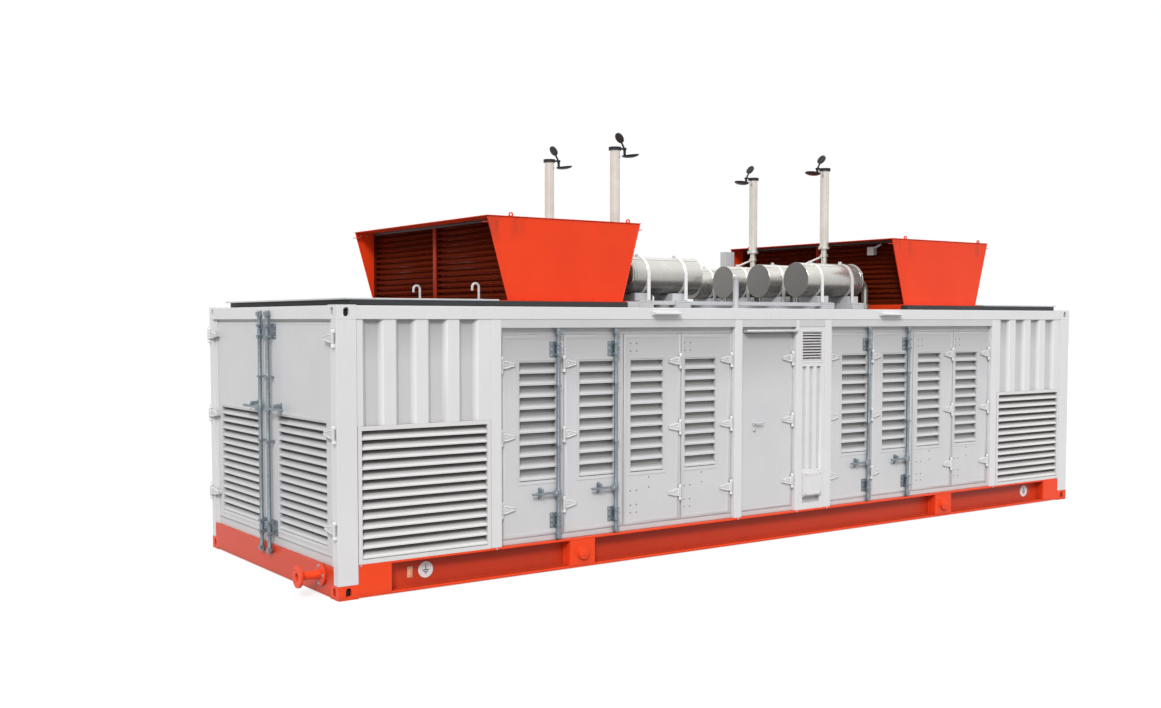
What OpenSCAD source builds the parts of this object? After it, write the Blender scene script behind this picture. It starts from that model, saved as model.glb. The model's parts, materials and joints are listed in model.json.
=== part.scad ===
// Gas generator set in a steel container, with roof hoods and exhaust silencers.
// X runs along the container, Y across it with the door side at -Y, Z is up.
// The origin is under the middle of the container, at the feet of its corner castings.

/* [Container] */
// length over the corner castings
body_l = 10000; // [9900:10:12500]
// width over the corner castings
body_w = 3000; // [2400:10:3600]
// height over the corner castings
body_h = 2400; // [2100:10:3000]
// corner casting along the container
casting_l = 178; // [150:1:220]
// corner casting across the container
casting_w = 162; // [140:1:200]
// corner casting height, and the height of the top rails
casting_h = 118; // [100:1:150]
// hole in a casting, long way
slot_l = 79; // [60:1:90]
// hole in a casting, short way
slot_w = 51; // [40:1:60]
// twist lock hole in a casting, long way
twist_l = 124; // [110:1:130]
// twist lock hole in a casting, short way
twist_w = 63.5; // [55:0.5:70]
// wall of a casting
casting_wall = 28; // [20:1:32]
// how far the top castings stand over the top rails
casting_rise = 6; // [4:1:10]

/* [Base] */
// top of the base beams above the feet
base_h = 280; // [230:5:340]
// beam underside above the feet
base_lift = 6; // [4:1:20]
// flange width of the base beams
flange_w = 110; // [90:1:135]
// flange thickness of the base beams
flange_t = 20; // [12:1:26]
// web thickness of the base beams
web_t = 10; // [6:1:14]
// solid block at each end of a side beam
end_block_l = 300; // [200:5:400]
// thickness of the end beams
end_beam_w = 60; // [50:1:80]
// top of the end beams above the feet
end_beam_top = 256; // [240:1:270]
// number of cross members under the floor
cross_n = 8; // [5:1:12]
// floor sheet thickness
floor_t = 8; // [5:1:12]
// lifting block length
lift_l = 282; // [220:1:340]
// lifting block centre from the middle of the container
lift_x = 2577; // [2000:1:3200]
// lifting boss diameter
lift_d = 116; // [90:1:150]
// how far a lifting boss stands out
lift_out = 30; // [15:1:50]

/* [Side frames] */
// post width on the long sides
post_w = 108; // [80:1:140]
// depth of posts, headers and top rails
frame_d = 100; // [80:1:130]
// how far posts and headers sit behind the top rail
frame_set = 4; // [2:1:8]
// jamb post beside the personnel door
jamb_w = 46; // [36:1:60]
// width of the posts next to the middle section
mid_post_w = 101; // [80:1:130]
// corner post width on the ends
end_post_w = 92; // [80:1:120]
// how far the door jambs sit behind the corner posts on the ends
jamb_set = 20; // [10:1:22]
// header depth below the top rail
header_h = 75; // [50:1:110]
// end bay between a corner post and the next post
end_bay_l = 1270; // [1100:5:1450]
// door bay length
bay_l = 2750; // [2500:5:3000]
// recess of the doors behind the side frame
recess = 50; // [40:1:70]
// strip under the header over the doors
head_strip_h = 54; // [40:1:80]
// sill strip height under the doors
sill_h = 42; // [30:1:60]
// strip over the end doors
end_head_h = 14; // [10:1:40]
// rail step length
step_l = 328; // [200:2:400]
// rail step centre from the middle of the container
step_x = 1604; // [1200:1:2000]
// rail step width
step_w = 60; // [40:1:80]
// mullion width behind the door joints
mullion_w = 70; // [50:1:90]

/* [Louvres and corrugations] */
// top of the louvre panel in an end bay
low_louvre_top = 1409; // [1200:1:1600]
// frame bar of an end bay louvre
louvre_bar = 36; // [25:1:50]
// slats in an end bay louvre
low_slat_n = 13; // [9:1:17]
// end bay louvre depth
low_louvre_d = 60; // [45:1:80]
// corrugation pitch
corr_pitch = 300; // [240:5:360]
// corrugation depth
corr_d = 36; // [25:1:50]
// corrugated sheet thickness
corr_t = 4; // [3:1:6]
// blade thickness of the large louvres
slat_t = 4; // [3:1:6]
// share of its pitch that an end bay blade covers
low_cover = 0.8; // [0.6:0.01:0.85]
// share of its pitch that a door blade covers
door_cover = 0.52; // [0.4:0.01:0.8]

/* [Bay doors] */
// hinge axis to hinge axis of two doors that open the same way
door_pitch = 668; // [600:1:720]
// leaf thickness
leaf_t = 45; // [35:1:60]
// hinge axis in from the side of its opening
hinge_in = 20; // [18:1:30]
// hinge axis in front of the leaf
hinge_out = 16; // [14:1:24]
// knuckle radius
knuckle_r = 14; // [10:1:14]
// knuckle length
knuckle_l = 90; // [60:1:120]
// hinge strap length along the leaf
strap_l = 140; // [100:1:180]
// hinge strap height at the knuckle
strap_h = 76; // [50:1:100]
// hinge strap thickness
strap_t = 12; // [8:1:12]
// height of a fixed hinge lug
lug_h = 30; // [20:1:40]
// leaf edge from its own hinge axis
leaf_start = 8; // [7:1:12]
// free edge of a leaf short of the next hinge axis
leaf_short = 27; // [24:1:40]
// gap under the leaves
door_gap = 10; // [8:1:16]
// louvre to hinge axis on each of the four doors of a bay
louvre_in_1 = 172; // [165:1:180]
// the same on the second door
louvre_in_2 = 158; // [150:1:200]
// the same on the third door
louvre_in_3 = 182; // [150:1:200]
// the same on the fourth door
louvre_in_4 = 178; // [165:1:185]
// bottom of a door louvre
door_louvre_low = 810; // [700:1:900]
// door louvre height
door_louvre_h = 1108; // [900:1:1250]
// door louvre width
door_louvre_w = 440; // [380:1:480]
// slats in a door louvre
door_slat_n = 10; // [8:1:14]
// frame bar of a door louvre
door_bar = 22; // [15:1:30]
// lowest hinge height
hinge_low = 597; // [500:1:700]
// hinge to hinge height
hinge_step = 642; // [560:1:720]

/* [Lock rods] */
// rod radius
rod_r = 18; // [12:1:20]
// rod axis in front of its leaf
rod_out = 30; // [26:1:36]
// first rod from the left post of its bay
rod_at_1 = 612; // [600:1:620]
// second rod from the left post of its bay
rod_at_2 = 1265; // [1200:1:1290]
// rod handle height
handle_z = 715; // [650:1:760]
// rod handle length
handle_l = 290; // [200:1:300]
// catch plate from the rod axis
catch_at = 186; // [140:1:190]
// catch plate height
catch_h = 104; // [80:1:130]
// height of the guide plates
guide_h = 136; // [100:1:170]
// guide plate from the ends of its leaf
guide_in = 62; // [50:1:100]
// guide plate reach on the handle side
guide_l = 76; // [50:1:90]
// cam length at each rod end
cam_h = 60; // [40:1:80]
// rod fixing holes from the hinge axis on the doors that have no rod
spare_at = 566; // [540:1:580]
// fixing hole diameter
spare_d = 9; // [6:1:12]

/* [Middle of the side] */
// personnel door opening width
pass_w = 750; // [650:5:820]
// personnel door handle from the hinge axis
latch_at = 530; // [400:1:660]
// personnel door handle height
latch_z = 1225; // [1000:1:1400]
// grille width in the middle column
grille_w = 302; // [220:1:340]
// slats in the grille
grille_slat_n = 10; // [8:1:14]
// grille bottom
grille_low = 1840; // [1700:1:1900]
// grille height
grille_h = 320; // [240:1:340]
// flute bottom
flute_low = 700; // [640:1:760]
// flute top
flute_top = 1790; // [1700:1:1820]
// cable box width
box_w = 256; // [180:1:280]
// cable box bottom
box_low = 432; // [425:1:460]
// cable box height
box_h = 240; // [200:1:250]

/* [End doors] */
// recess of the end doors
end_recess = 25; // [15:1:40]
// end louvre width
end_louvre_w = 1075; // [900:5:1150]
// end louvre bottom
end_louvre_low = 390; // [360:1:450]
// end louvre height
end_louvre_h = 1060; // [900:5:1200]
// end louvre centre from the middle
end_louvre_y = 722; // [640:1:740]
// blades in an end door louvre
end_slat_n = 14; // [10:1:18]
// share of its pitch that an end door blade covers
end_cover = 0.7; // [0.5:0.01:0.85]
// lowest end hinge height
end_hinge_low = 575; // [500:1:650]
// end hinge to hinge height
end_hinge_step = 777; // [700:1:800]
// end hinge axis in from the side of the container
end_hinge_in = 30; // [24:1:40]
// end hinge axis in front of the corner posts
end_hinge_out = 20; // [20:1:28]
// end hinge strap length
end_strap_l = 200; // [190:1:240]
// end rod axis in front of the corner posts
end_rod_out = 26; // [26:1:34]
// end rod axis from the middle
end_rod_y = 92; // [84:1:160]
// end rod handle height
end_handle_z = 1490; // [1480:1:1600]
// end rod handle length
end_handle_l = 370; // [300:2:400]
// guide plate reach on an end rod
end_guide_l = 82; // [60:1:82]
// guide plate from the ends of an end leaf
end_guide_in = 12; // [5:1:60]

/* [Roof] */
// roof sheet thickness
roof_t = 6; // [4:1:10]
// roof edge strip in from the sides
strip_in = 100; // [60:1:140]
// hood side in from the outer edge of the strip
hood_inset = 60; // [45:1:84]
// roof edge strip in from the ends
strip_end_in = 180; // [175:1:220]
// roof edge strip height
strip_t = 50; // [36:1:60]
// roof edge strip width
strip_w = 90; // [60:1:120]
// cover plate thickness
cover_t = 14; // [8:1:20]
// cover plate length
cover_l = 1464; // [1200:2:1520]
// cover plate overhang past the edge strip at the ends
cover_over = 50; // [20:1:80]

/* [Hoods] */
// half the distance between the hood centres
hood_x = 2658; // [2500:2:2900]
// how far the pair of hoods sits towards the right end
hood_shift = 20; // [0:2:100]
// hood length at its foot
hood_foot_l = 1280; // [1100:5:1450]
// hood length at its top
hood_top_l = 1700; // [1500:5:1900]
// hood height
hood_h = 745; // [600:5:850]
// hood sheet thickness
hood_t = 6; // [4:1:10]
// hood foot flange thickness
hood_flange_t = 10; // [6:1:14]
// hood curb width
curb_w = 50; // [40:1:70]
// slats in a hood louvre wall
hood_slat_n = 12; // [8:1:16]
// share of its pitch that a hood blade covers
hood_cover = 0.75; // [0.5:0.01:0.8]
// lifting eye from the middle of its hood
eye_x = 660; // [500:5:750]
// lifting eyes off the middle of their hood
eye_shift = 84; // [0:2:100]
// lifting eye in from the side of its hood
eye_in = 56; // [30:2:200]
// lifting eye diameter
eye_d = 46; // [36:1:60]

/* [Silencers] */
// silencer diameter
silencer_d = 382; // [310:1:470]
// silencer length
silencer_l = 885; // [800:5:1000]
// gap between a silencer and its foot beam
silencer_gap = 66; // [40:1:100]
// depth of the dished end of a silencer
dish = 62; // [40:1:90]
// flat end of a silencer from the middle of its group pair
silencer_x = 770; // [600:5:800]
// silencer to silencer across the container
silencer_step = 600; // [480:5:640]
// first silencer across the container
silencer_y = -800; // [-900:5:-700]
// middle of the two silencer groups along the container
group_x = 80; // [0:5:150]
// strap width
band_w = 40; // [25:1:50]
// strap thickness
band_t = 4; // [2:1:6]
// how far a strap stands off the middle of its foot beam, towards the flat end
band_off = 60; // [0:2:60]
// silencer inlet pipe diameter
inlet_d = 76; // [60:1:90]
// inlet pipe bend radius
inlet_bend = 115; // [90:1:118]
// stack pipe diameter
stack_d = 104; // [89:1:120]
// pipe diameter below the stack flange
stack_low_d = 68; // [50:1:76]
// rain cap flap diameter
cap_d = 180; // [150:2:200]
// rain cap counterweight diameter
weight_d = 112; // [90:2:130]
// rain cap hinge outside its stack
cap_out = 70; // [60:1:80]
// stack top above the roof
stack_up = 1646; // [1200:2:1900]
// stack flange above the roof
flange_up = 714; // [650:2:800]
// stay clamp on a stack above the roof
stay_up = 636; // [600:2:700]
// drop of a stay from its clamp to its post
stay_drop = 168; // [120:2:200]
// foot beam height under the silencers
foot_h = 76; // [60:1:90]
// height of the tie bars between the foot beams
tie_h = 40; // [30:1:50]
// foot beam width
foot_w = 190; // [180:5:220]
// near foot beam from the flat end
foot_a = 285; // [240:5:340]
// far foot beam from the flat end
foot_b = 770; // [650:5:800]

/* [Gas inlet] */
// gas pipe outside diameter
gas_pipe_d = 76; // [70:1:89]
// gas pipe inside diameter
gas_bore_d = 66; // [60:1:76]
// flange diameter
gas_flange_d = 185; // [165:1:200]
// flange bolt circle
gas_pcd = 145; // [125:1:160]
// flange bolt holes
gas_hole_n = 4; // [4:1:8]
// flange bolt hole diameter
gas_hole_d = 18; // [14:1:20]
// flange thickness
gas_flange_t = 20; // [16:1:24]
// how far the gas pipe stands out
gas_out = 220; // [180:5:260]
// gas pipe across the container
gas_y = -1170; // [-1200:5:-900]
// gas pipe height
gas_z = 172; // [150:1:185]

/* [Roof fittings] */
// first roof vent from the inner edge of its cover plate
vent_in = 144; // [100:2:900]
// second roof vent from the same edge
vent_edge = 60; // [30:5:100]
// second vent and breather in from the side of the container
vent_y = 350; // [330:5:500]
// first vent in from the side of the container
vent_deep = 1300; // [400:10:2400]
// straight height of a roof vent
vent_rise = 110; // [80:5:200]
// breather pipe diameter
breather_d = 60; // [48:1:76]
// breather pipe height above the roof
breather_h = 306; // [200:2:400]
// breather pipe from the middle of the container
breather_x = -493; // [-600:1:-400]
// junction box on the right hood, across the container
junction_y = -877; // [-900:1:-200]
// junction box edge
junction_w = 94; // [80:1:130]
// duct behind the silencers, along the container
duct_x = 1645; // [1500:5:1660]
// duct width
duct_w = 150; // [80:2:160]
// duct top below the top of the hoods
duct_drop = 45; // [20:1:80]

/* [Hidden] */
$fn = 48;
half_l = body_l / 2;
half_w = body_w / 2;
inner_l = half_l - casting_l;
inner_w = half_w - casting_w;
rail_z = body_h - casting_h;
rail_top = body_h - casting_rise;
header_z = rail_z - header_h;
fit_gap = 0.3;
blade_in = 3;
strip_front = 4;
strip_back = 30;
floor_top = base_h - 10;
roof_low = rail_top - roof_t;

bay_out = inner_l - end_bay_l;
bay_far = bay_out - post_w;
bay_near = bay_far - bay_l;
post_near = bay_near - mid_post_w;
face_y = -half_w + recess;
axis_y = face_y - hinge_out;
leaf_low = base_h + sill_h + door_gap;
leaf_top = header_z - head_strip_h - door_gap;
pass_axis = -post_near + door_gap + pass_w - hinge_in;
pass_right = -post_near + door_gap + pass_w;
column_x0 = pass_right + jamb_w;
column_mid = (column_x0 + post_near) / 2;
louvre_in = [louvre_in_1, louvre_in_2, louvre_in_3, louvre_in_4];
rod_at = [rod_at_1, rod_at_2];

end_face_x = -half_l + end_recess;
end_axis_x = -half_l - end_hinge_out;
end_axis_y = half_w - end_hinge_in;
end_leaf_start = end_axis_y - inner_w + door_gap / 2;
end_leaf_reach = end_axis_y - door_gap / 2;
end_leaf_top = rail_z - end_head_h - door_gap;

strip_z = rail_top + fit_gap;
cover_z = strip_z + strip_t;
hood_z = cover_z + hood_flange_t;
strip_x = half_l - strip_end_in;
strip_y = half_w - strip_in;

hood_w = 2 * (strip_y - hood_inset);
hood_foot_out = hood_x - hood_foot_l / 2 - 20;
hood_top_z = hood_z + hood_h;
curb_reach = strip_y - strip_w - fit_gap;

muffler_r = silencer_d / 2;
foot_z = rail_top + fit_gap;
foot_top = foot_z + foot_h;
silencer_z = foot_top + silencer_gap + muffler_r;
inlet_at = hood_x + hood_shift - group_x - hood_foot_l / 2 - inlet_d / 2 - 17;
inlet_run = inlet_at - silencer_x - silencer_l - inlet_bend;
stack_top = rail_top + stack_up;
flange_z = rail_top + flange_up;
stay_z = rail_top + stay_up;
stack_at = silencer_x + foot_b - 6;
stack_y = [silencer_y + silencer_step / 2, silencer_y + silencer_step * 2.5];
feet_low_y = silencer_y - 230;
feet_high_y = silencer_y + 3 * silencer_step + 230;

module both_sides() {
  children();
  mirror([0, 1, 0]) children();
}

module both_ends() {
  children();
  mirror([1, 0, 0]) children();
}

module block(x0, x1, y0, y1, z0, z1) {
  translate([x0, y0, z0]) cube([x1 - x0, y1 - y0, z1 - z0]);
}

// a framed louvre of folded blades, front at y = 0, standing in the XZ plane from the origin
module louvre(w, h, d, bar, n, cover, t) {
  pitch = (h - 2 * bar) / n;
  difference() {
    cube([w, d, h]);
    translate([bar, -1, bar]) cube([w - 2 * bar, d + 2, h - 2 * bar]);
  }
  for (i = [0 : n - 1])
    translate([bar - 1, blade_in, bar + pitch * (i + 0.06)])
      blade(w - 2 * bar + 2, d - 8, pitch, cover, t);
}

// one folded blade along x: an upright lip in front and a slope up to the back
module blade(w, depth, pitch, cover, t) {
  lip = pitch * 0.16;
  rise = pitch * cover;
  rotate([90, 0, 90]) linear_extrude(w)
    polygon([[0, 0], [t, 0], [t, lip - t * 0.4], [depth, rise - t * 1.6], [depth, rise], [0, lip]]);
}

// one casting with its outer corner at the origin, growing towards +x, +y and +z
module casting(open_z) {
  wall = casting_wall;
  difference() {
    cube([casting_l, casting_w, casting_h]);
    translate([wall, wall, wall])
      cube([casting_l - 2 * wall, casting_w - 2 * wall, casting_h - 2 * wall]);
    translate([casting_l / 2, 0, casting_h / 2]) side_hole([90, 0, 0], wall);
    translate([0, casting_w / 2, casting_h / 2]) side_hole([0, 90, 0], wall);
    translate([casting_l / 2, casting_w / 2, open_z]) twist_slot(wall * 2.4);
  }
}

// the long hole for a twist lock, along x
module twist_slot(h) {
  span = (twist_l - twist_w) / 2;
  for (s = [-1, 1]) translate([s * span, 0, 0]) cylinder(d = twist_w, h = h, center = true);
  cube([span * 2, twist_w, h], center = true);
}

module side_hole(turn, wall) {
  span = (slot_l - slot_w) / 2;
  for (s = [-1, 1])
    translate([0, 0, s * span]) rotate(turn) cylinder(d = slot_w, h = wall * 2.4, center = true);
  cube([turn[1] > 0 ? wall * 2.4 : slot_w, turn[1] > 0 ? slot_w : wall * 2.4, span * 2],
    center = true);
}

module at_corners() {
  for (sx = [-1, 1]) for (sy = [-1, 1])
    scale([sx, sy, 1]) translate([-half_l, -half_w, 0]) children();
}

module base_beams() {
  recess_l = inner_l - end_block_l;
  color("orangered") {
    both_sides() difference() {
      block(-inner_l, inner_l, -half_w, -half_w + flange_w, base_lift, base_h);
      block(-recess_l, recess_l, -half_w - 1, -half_w + flange_w - web_t,
        base_lift + flange_t, base_h - flange_t);
    }
    both_ends() union() {
      block(-half_l, -half_l + end_beam_w, -inner_w, inner_w, base_lift, end_beam_top);
      block(-half_l, -half_l + end_beam_w, -half_w + end_post_w + fit_gap,
        half_w - end_post_w - fit_gap, casting_h + fit_gap, end_beam_top);
    }
  }
}

module cross_members() {
  reach = half_w - flange_w - fit_gap;
  color("orangered")
    for (i = [0 : cross_n - 1])
      translate([-inner_l + 160 + i * (2 * inner_l - 320) / (cross_n - 1), 0, 0])
        block(-30, 30, -reach, reach, floor_top - floor_t - 130, floor_top - floor_t);
}

module floor_plate() {
  low = floor_top - floor_t;
  color("dimgray") union() {
    block(-inner_l, inner_l, -half_w + flange_w + 4, half_w - flange_w - 4, low, low + floor_t);
    block(end_face_x + strip_back + fit_gap, -end_face_x - strip_back - fit_gap, -inner_w + 4,
      inner_w - 4, low, low + floor_t);
  }
}

module lifting_blocks() {
  color("orangered")
    both_sides() both_ends() union() {
      block(-lift_x - lift_l / 2, -lift_x + lift_l / 2, -half_w,
        -half_w + flange_w - web_t - fit_gap, base_lift + flange_t + fit_gap,
        base_h - flange_t - fit_gap);
      translate([-lift_x, -half_w + 1, base_h / 2]) rotate([90, 0, 0])
        cylinder(d = lift_d, h = lift_out + 1);
    }
}

module bottom_castings() {
  color("orangered") at_corners() casting(0);
}

module top_castings() {
  color("gainsboro") at_corners() translate([0, 0, rail_z]) casting(casting_h);
}

module corner_posts() {
  color("gainsboro") at_corners() difference() {
    block(0, casting_l, 0, casting_w, casting_h, rail_z);
    block(-1, jamb_set, end_post_w, casting_w + 1, casting_h - 1, rail_z + 1);
    block(-1, end_beam_w + fit_gap, end_post_w, casting_w + 1, casting_h - 1,
      end_beam_top + fit_gap);
  }
}

module top_rails() {
  color("gainsboro") {
    both_sides() block(-inner_l, inner_l, -half_w, -half_w + frame_d, rail_z, rail_top);
    both_ends() block(-half_l, -half_l + frame_d, -inner_w, inner_w, rail_z, rail_top);
  }
}

module roof_panel() {
  low = roof_low;
  color("gainsboro") union() {
    block(-inner_l, inner_l, -half_w + frame_d + 1, half_w - frame_d - 1, low, low + roof_t);
    block(-half_l + frame_d + 1, half_l - frame_d - 1, -inner_w + 1, inner_w - 1,
      low, low + roof_t);
  }
}

module roof_edge_strips() {
  color("dimgray") {
    both_sides() for (side = [-1, 1]) {
      inner = side * hood_foot_out + hood_shift;
      block(min(side * strip_x, inner), max(side * strip_x, inner), -strip_y,
        -strip_y + strip_w, strip_z, cover_z);
    }
    both_ends() block(-strip_x, -strip_x + strip_w, -strip_y + strip_w + 1,
      strip_y - strip_w - 1, strip_z, cover_z);
  }
}

module roof_cover_plates() {
  color("lightgray") both_ends()
    block(-strip_x - cover_over, -strip_x - cover_over + cover_l, -strip_y, strip_y,
      cover_z, cover_z + cover_t);
}

module side_posts() {
  front = -half_w + frame_set;
  color("gainsboro") {
    both_sides() both_ends() {
      block(-bay_out, -bay_far, front, -half_w + frame_d, base_h, rail_z);
      block(-bay_near, -post_near, front, -half_w + frame_d, base_h, rail_z);
    }
    both_sides() block(pass_right, column_x0, front, -half_w + frame_d, base_h, rail_z);
  }
}

// a strip over and a strip under the doors of an opening from x0 to x1
module door_strips(x0, x1) {
  block(x0, x1, face_y + strip_front, face_y + strip_back, header_z - head_strip_h, header_z - fit_gap);
  block(x0, x1, face_y + strip_front, face_y + strip_back, base_h + fit_gap, base_h + sill_h);
}

module side_headers() {
  front = -half_w + frame_set;
  color("gainsboro") {
    both_sides() {
      both_ends() {
        block(-bay_far, -bay_near, front, -half_w + frame_d, header_z, rail_z);
        door_strips(-bay_far, -bay_near);
      }
      block(-post_near, pass_right, front, -half_w + frame_d, header_z, rail_z);
      block(column_x0, post_near, front, -half_w + frame_d, header_z, rail_z);
      door_strips(-post_near, pass_right);
    }
    both_ends() {
      block(end_face_x + strip_front, end_face_x + strip_back, -inner_w + fit_gap, inner_w - fit_gap,
        end_beam_top + fit_gap, leaf_low - door_gap);
      block(end_face_x + strip_front, end_face_x + strip_back, -inner_w + fit_gap, inner_w - fit_gap,
        rail_z - end_head_h, rail_z - fit_gap);
    }
    drip_bar();
  }
}

// the rain bar over the personnel door, on the strip over it
module drip_bar() {
  z = leaf_top + 8;
  union() {
    block(-post_near + 50, pass_right - fit_gap, -half_w - 10, face_y + strip_front - fit_gap, z + 4, z + 24);
    translate([-post_near + 50, -half_w - 10, z + 14]) rotate([0, 90, 0])
      cylinder(d = 28, h = pass_right - fit_gap + post_near - 50);
  }
}

module door_mullions() {
  front = face_y + leaf_t + 8;
  color("gainsboro") both_sides() for (side = [-bay_far, bay_near])
    for (at = [hinge_in + door_pitch - 9, bay_l / 2, bay_l - hinge_in - door_pitch + 9])
      translate([side + at, 0, 0]) union() {
        block(-mullion_w / 2, mullion_w / 2, front, front + 60, base_h + fit_gap,
          roof_low - fit_gap);
        block(-mullion_w / 2, mullion_w / 2, face_y + strip_back + fit_gap, front + 60,
          base_h + fit_gap, base_h + sill_h);
      }
}

module corrugated_sheet(w) {
  half = corr_pitch / 2;
  flat = half - 40;
  count = floor(w / corr_pitch);
  edge = (w - count * corr_pitch) / 2;
  outer = [for (i = [0 : count - 1]) each [
    [edge + i * corr_pitch + 20, 0], [edge + i * corr_pitch + 20 + 40, corr_d],
    [edge + i * corr_pitch + 20 + 40 + flat, corr_d], [edge + i * corr_pitch + 100 + flat, 0]]];
  line = concat([[0, 0]], outer, [[w, 0]]);
  back = [for (i = [len(line) - 1 : -1 : 0]) line[i] + [0, corr_t]];
  polygon(concat(line, back));
}

module corrugated_panels() {
  color("gainsboro") both_sides() for (at = [-inner_l, bay_out])
    translate([at, -half_w + 6, low_louvre_top + fit_gap])
      linear_extrude(rail_z - low_louvre_top - fit_gap) corrugated_sheet(end_bay_l);
}

module side_louvres() {
  color("gainsboro") both_sides() for (at = [-inner_l, bay_out])
    translate([at + 4, -half_w + 2, base_h])
      louvre(end_bay_l - 8, low_louvre_top - base_h, low_louvre_d, louvre_bar, low_slat_n,
        low_cover, slat_t);
}

module rail_steps() {
  color("gainsboro") both_sides() both_ends() translate([-step_x, -half_w - fit_gap, rail_z + 38])
    rotate([90, 0, 90]) linear_extrude(step_l, center = true)
      polygon([[0, 0], [0, 42], [-step_w, 26], [-step_w, 12], [-step_w + 6, 12]]);
}

module middle_column() {
  front = -half_w + frame_set + 4;
  color("gainsboro") difference() {
    block(column_x0, post_near, front, front + 50, base_h, header_z);
    block(column_mid - grille_w / 2, column_mid + grille_w / 2, front - 1, front + 30,
      grille_low, grille_low + grille_h);
    for (i = [-1, 0, 1]) translate([column_mid + i * 106, front, flute_low])
      linear_extrude(flute_top - flute_low)
        polygon([[-34, -1], [34, -1], [34, 0], [20, 26], [-20, 26], [-34, 0]]);
    block(column_mid - box_w / 2, column_mid + box_w / 2, front - 1, front + 38,
      box_low - 82, box_low - 20);
  }
}

module vent_grille() {
  w = grille_w - 2 * fit_gap;
  color("gainsboro")
    translate([column_mid - w / 2, -half_w + frame_set + 4, grille_low + fit_gap])
      louvre(w, grille_h - 2 * fit_gap, 29, 12, grille_slat_n, 0.7, 2);
}

module cable_box() {
  color("gainsboro") block(column_mid - box_w / 2, column_mid + box_w / 2, -half_w - 22,
    -half_w + frame_set + 4 - fit_gap, box_low, box_low + box_h);
}

// a strap hinge leaf with its knuckle on the axis at the origin, strap towards +x
module hinge_leaf(back, length) {
  translate([0, 0, -knuckle_l / 2]) cylinder(r = knuckle_r, h = knuckle_l);
  translate([0, back, 0]) rotate([90, 0, 0]) linear_extrude(strap_t)
    polygon([[0, -strap_h / 2], [length * 0.35, -strap_h / 2], [length, -strap_h / 5],
      [length, strap_h / 5], [length * 0.35, strap_h / 2], [0, strap_h / 2]]);
}

// a leaf hung on the z axis, from x = start to x = reach, its face at y = out
module hung_leaf(start, reach, out, low, high) {
  block(start, reach, out, out + leaf_t, low, high);
}

// the same leaf with a louvre of the given place and size let into it
module louvred_leaf(start, reach, out, low, high, lx, lw, lz, lh, n, cover) {
  difference() {
    hung_leaf(start, reach, out, low, high);
    block(lx, lx + lw, out - 1, out + leaf_t + 1, lz, lz + lh);
  }
  translate([lx - 0.5, out, lz - 0.5]) louvre(lw + 1, lh + 1, leaf_t, door_bar, n, cover, slat_t);
}

// fixing holes for a lock rod that is not fitted, on a leaf face at y = out
module spare_holes(out) {
  rows = [leaf_top - 87, leaf_top - 160, handle_z - 59, leaf_low + 186, leaf_low + 114];
  for (z = rows) for (dx = [-36, 36]) spare_hole(spare_at + dx, out, z);
  for (dz = [-39, 58]) spare_hole(spare_at - catch_at, out, handle_z + dz);
}

module spare_hole(x, out, z) {
  translate([x, out - 1, z]) rotate([-90, 0, 0]) cylinder(d = spare_d, h = 9);
}

module bay_leaf(bay_x, which) {
  mirrored = which > 1;
  outer = which == 0 || which == 3;
  place = outer ? 0 : door_pitch;
  reach = outer ? door_pitch - leaf_short : bay_l / 2 - hinge_in - door_pitch - door_gap / 2;
  translate([mirrored ? bay_x + bay_l - hinge_in - place : bay_x + hinge_in + place, axis_y, 0])
    scale([mirrored ? -1 : 1, 1, 1]) {
      difference() {
        louvred_leaf(leaf_start, reach, hinge_out, leaf_low, leaf_top, louvre_in[which],
          door_louvre_w, door_louvre_low, door_louvre_h, door_slat_n, door_cover);
        if (mirrored) spare_holes(hinge_out);
      }
      for (i = [0 : 2]) translate([0, 0, hinge_low + i * hinge_step]) hinge_leaf(hinge_out, strap_l);
    }
}

// a lock rod on the z axis, the face behind it at y = out, its handle towards -x
module lock_rod(out, low, high, leaf_z0, leaf_z1, in, grip_z, grip_l, plate_l, plate_r) {
  translate([0, 0, low]) cylinder(r = rod_r, h = high - low);
  for (z = [low, high - cam_h]) translate([0, 0, z]) {
    cylinder(r = rod_r + 5, h = cam_h * 0.35);
    block(-rod_r - 12, rod_r + 4, -rod_r - 6, rod_r * 0.5, cam_h * 0.2, cam_h * 0.8);
  }
  for (z = [leaf_z0 + in, leaf_z1 - in - guide_h]) {
    block(-plate_l, plate_r, out - fit_gap - 6, out - fit_gap, z, z + guide_h);
    for (dz = [8, guide_h - 32]) block(-rod_r - 8, rod_r + 6, -rod_r - 6, out - fit_gap, z + dz,
      z + dz + 24);
  }
  for (z = [leaf_z0 + (leaf_z1 - leaf_z0) * 0.44, leaf_z0 + (leaf_z1 - leaf_z0) * 0.74])
    block(-rod_r - 6, rod_r + 4, -rod_r - 4, out - fit_gap, z, z + 20);
  translate([0, 0, grip_z - 30]) cylinder(r = rod_r + 8, h = 60);
  block(-grip_l, 0, -rod_r - 6, -rod_r + 6, grip_z - 11, grip_z + 11);
  translate([-grip_l, -rod_r, grip_z]) rotate([0, 90, 0]) cylinder(d = 22, h = 70);
  block(-catch_at - 16, -catch_at + 16, out - fit_gap - 8, out - fit_gap, grip_z - catch_h / 2,
    grip_z + catch_h / 2);
  block(-catch_at - 11, -catch_at + 11, -rod_r - 8, out - fit_gap - 1, grip_z + 13, grip_z + 27);
  block(-catch_at - 11, -catch_at + 11, -rod_r - 1, out - fit_gap - 1, grip_z - 12, grip_z + 14);
}

module bay_rod(bay_x, which) {
  color("slategray") translate([bay_x + rod_at[which], face_y - rod_out, 0])
    lock_rod(rod_out, base_h + door_gap, header_z - door_gap, leaf_low, leaf_top, guide_in,
      handle_z, handle_l, guide_l, 24);
}

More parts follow.
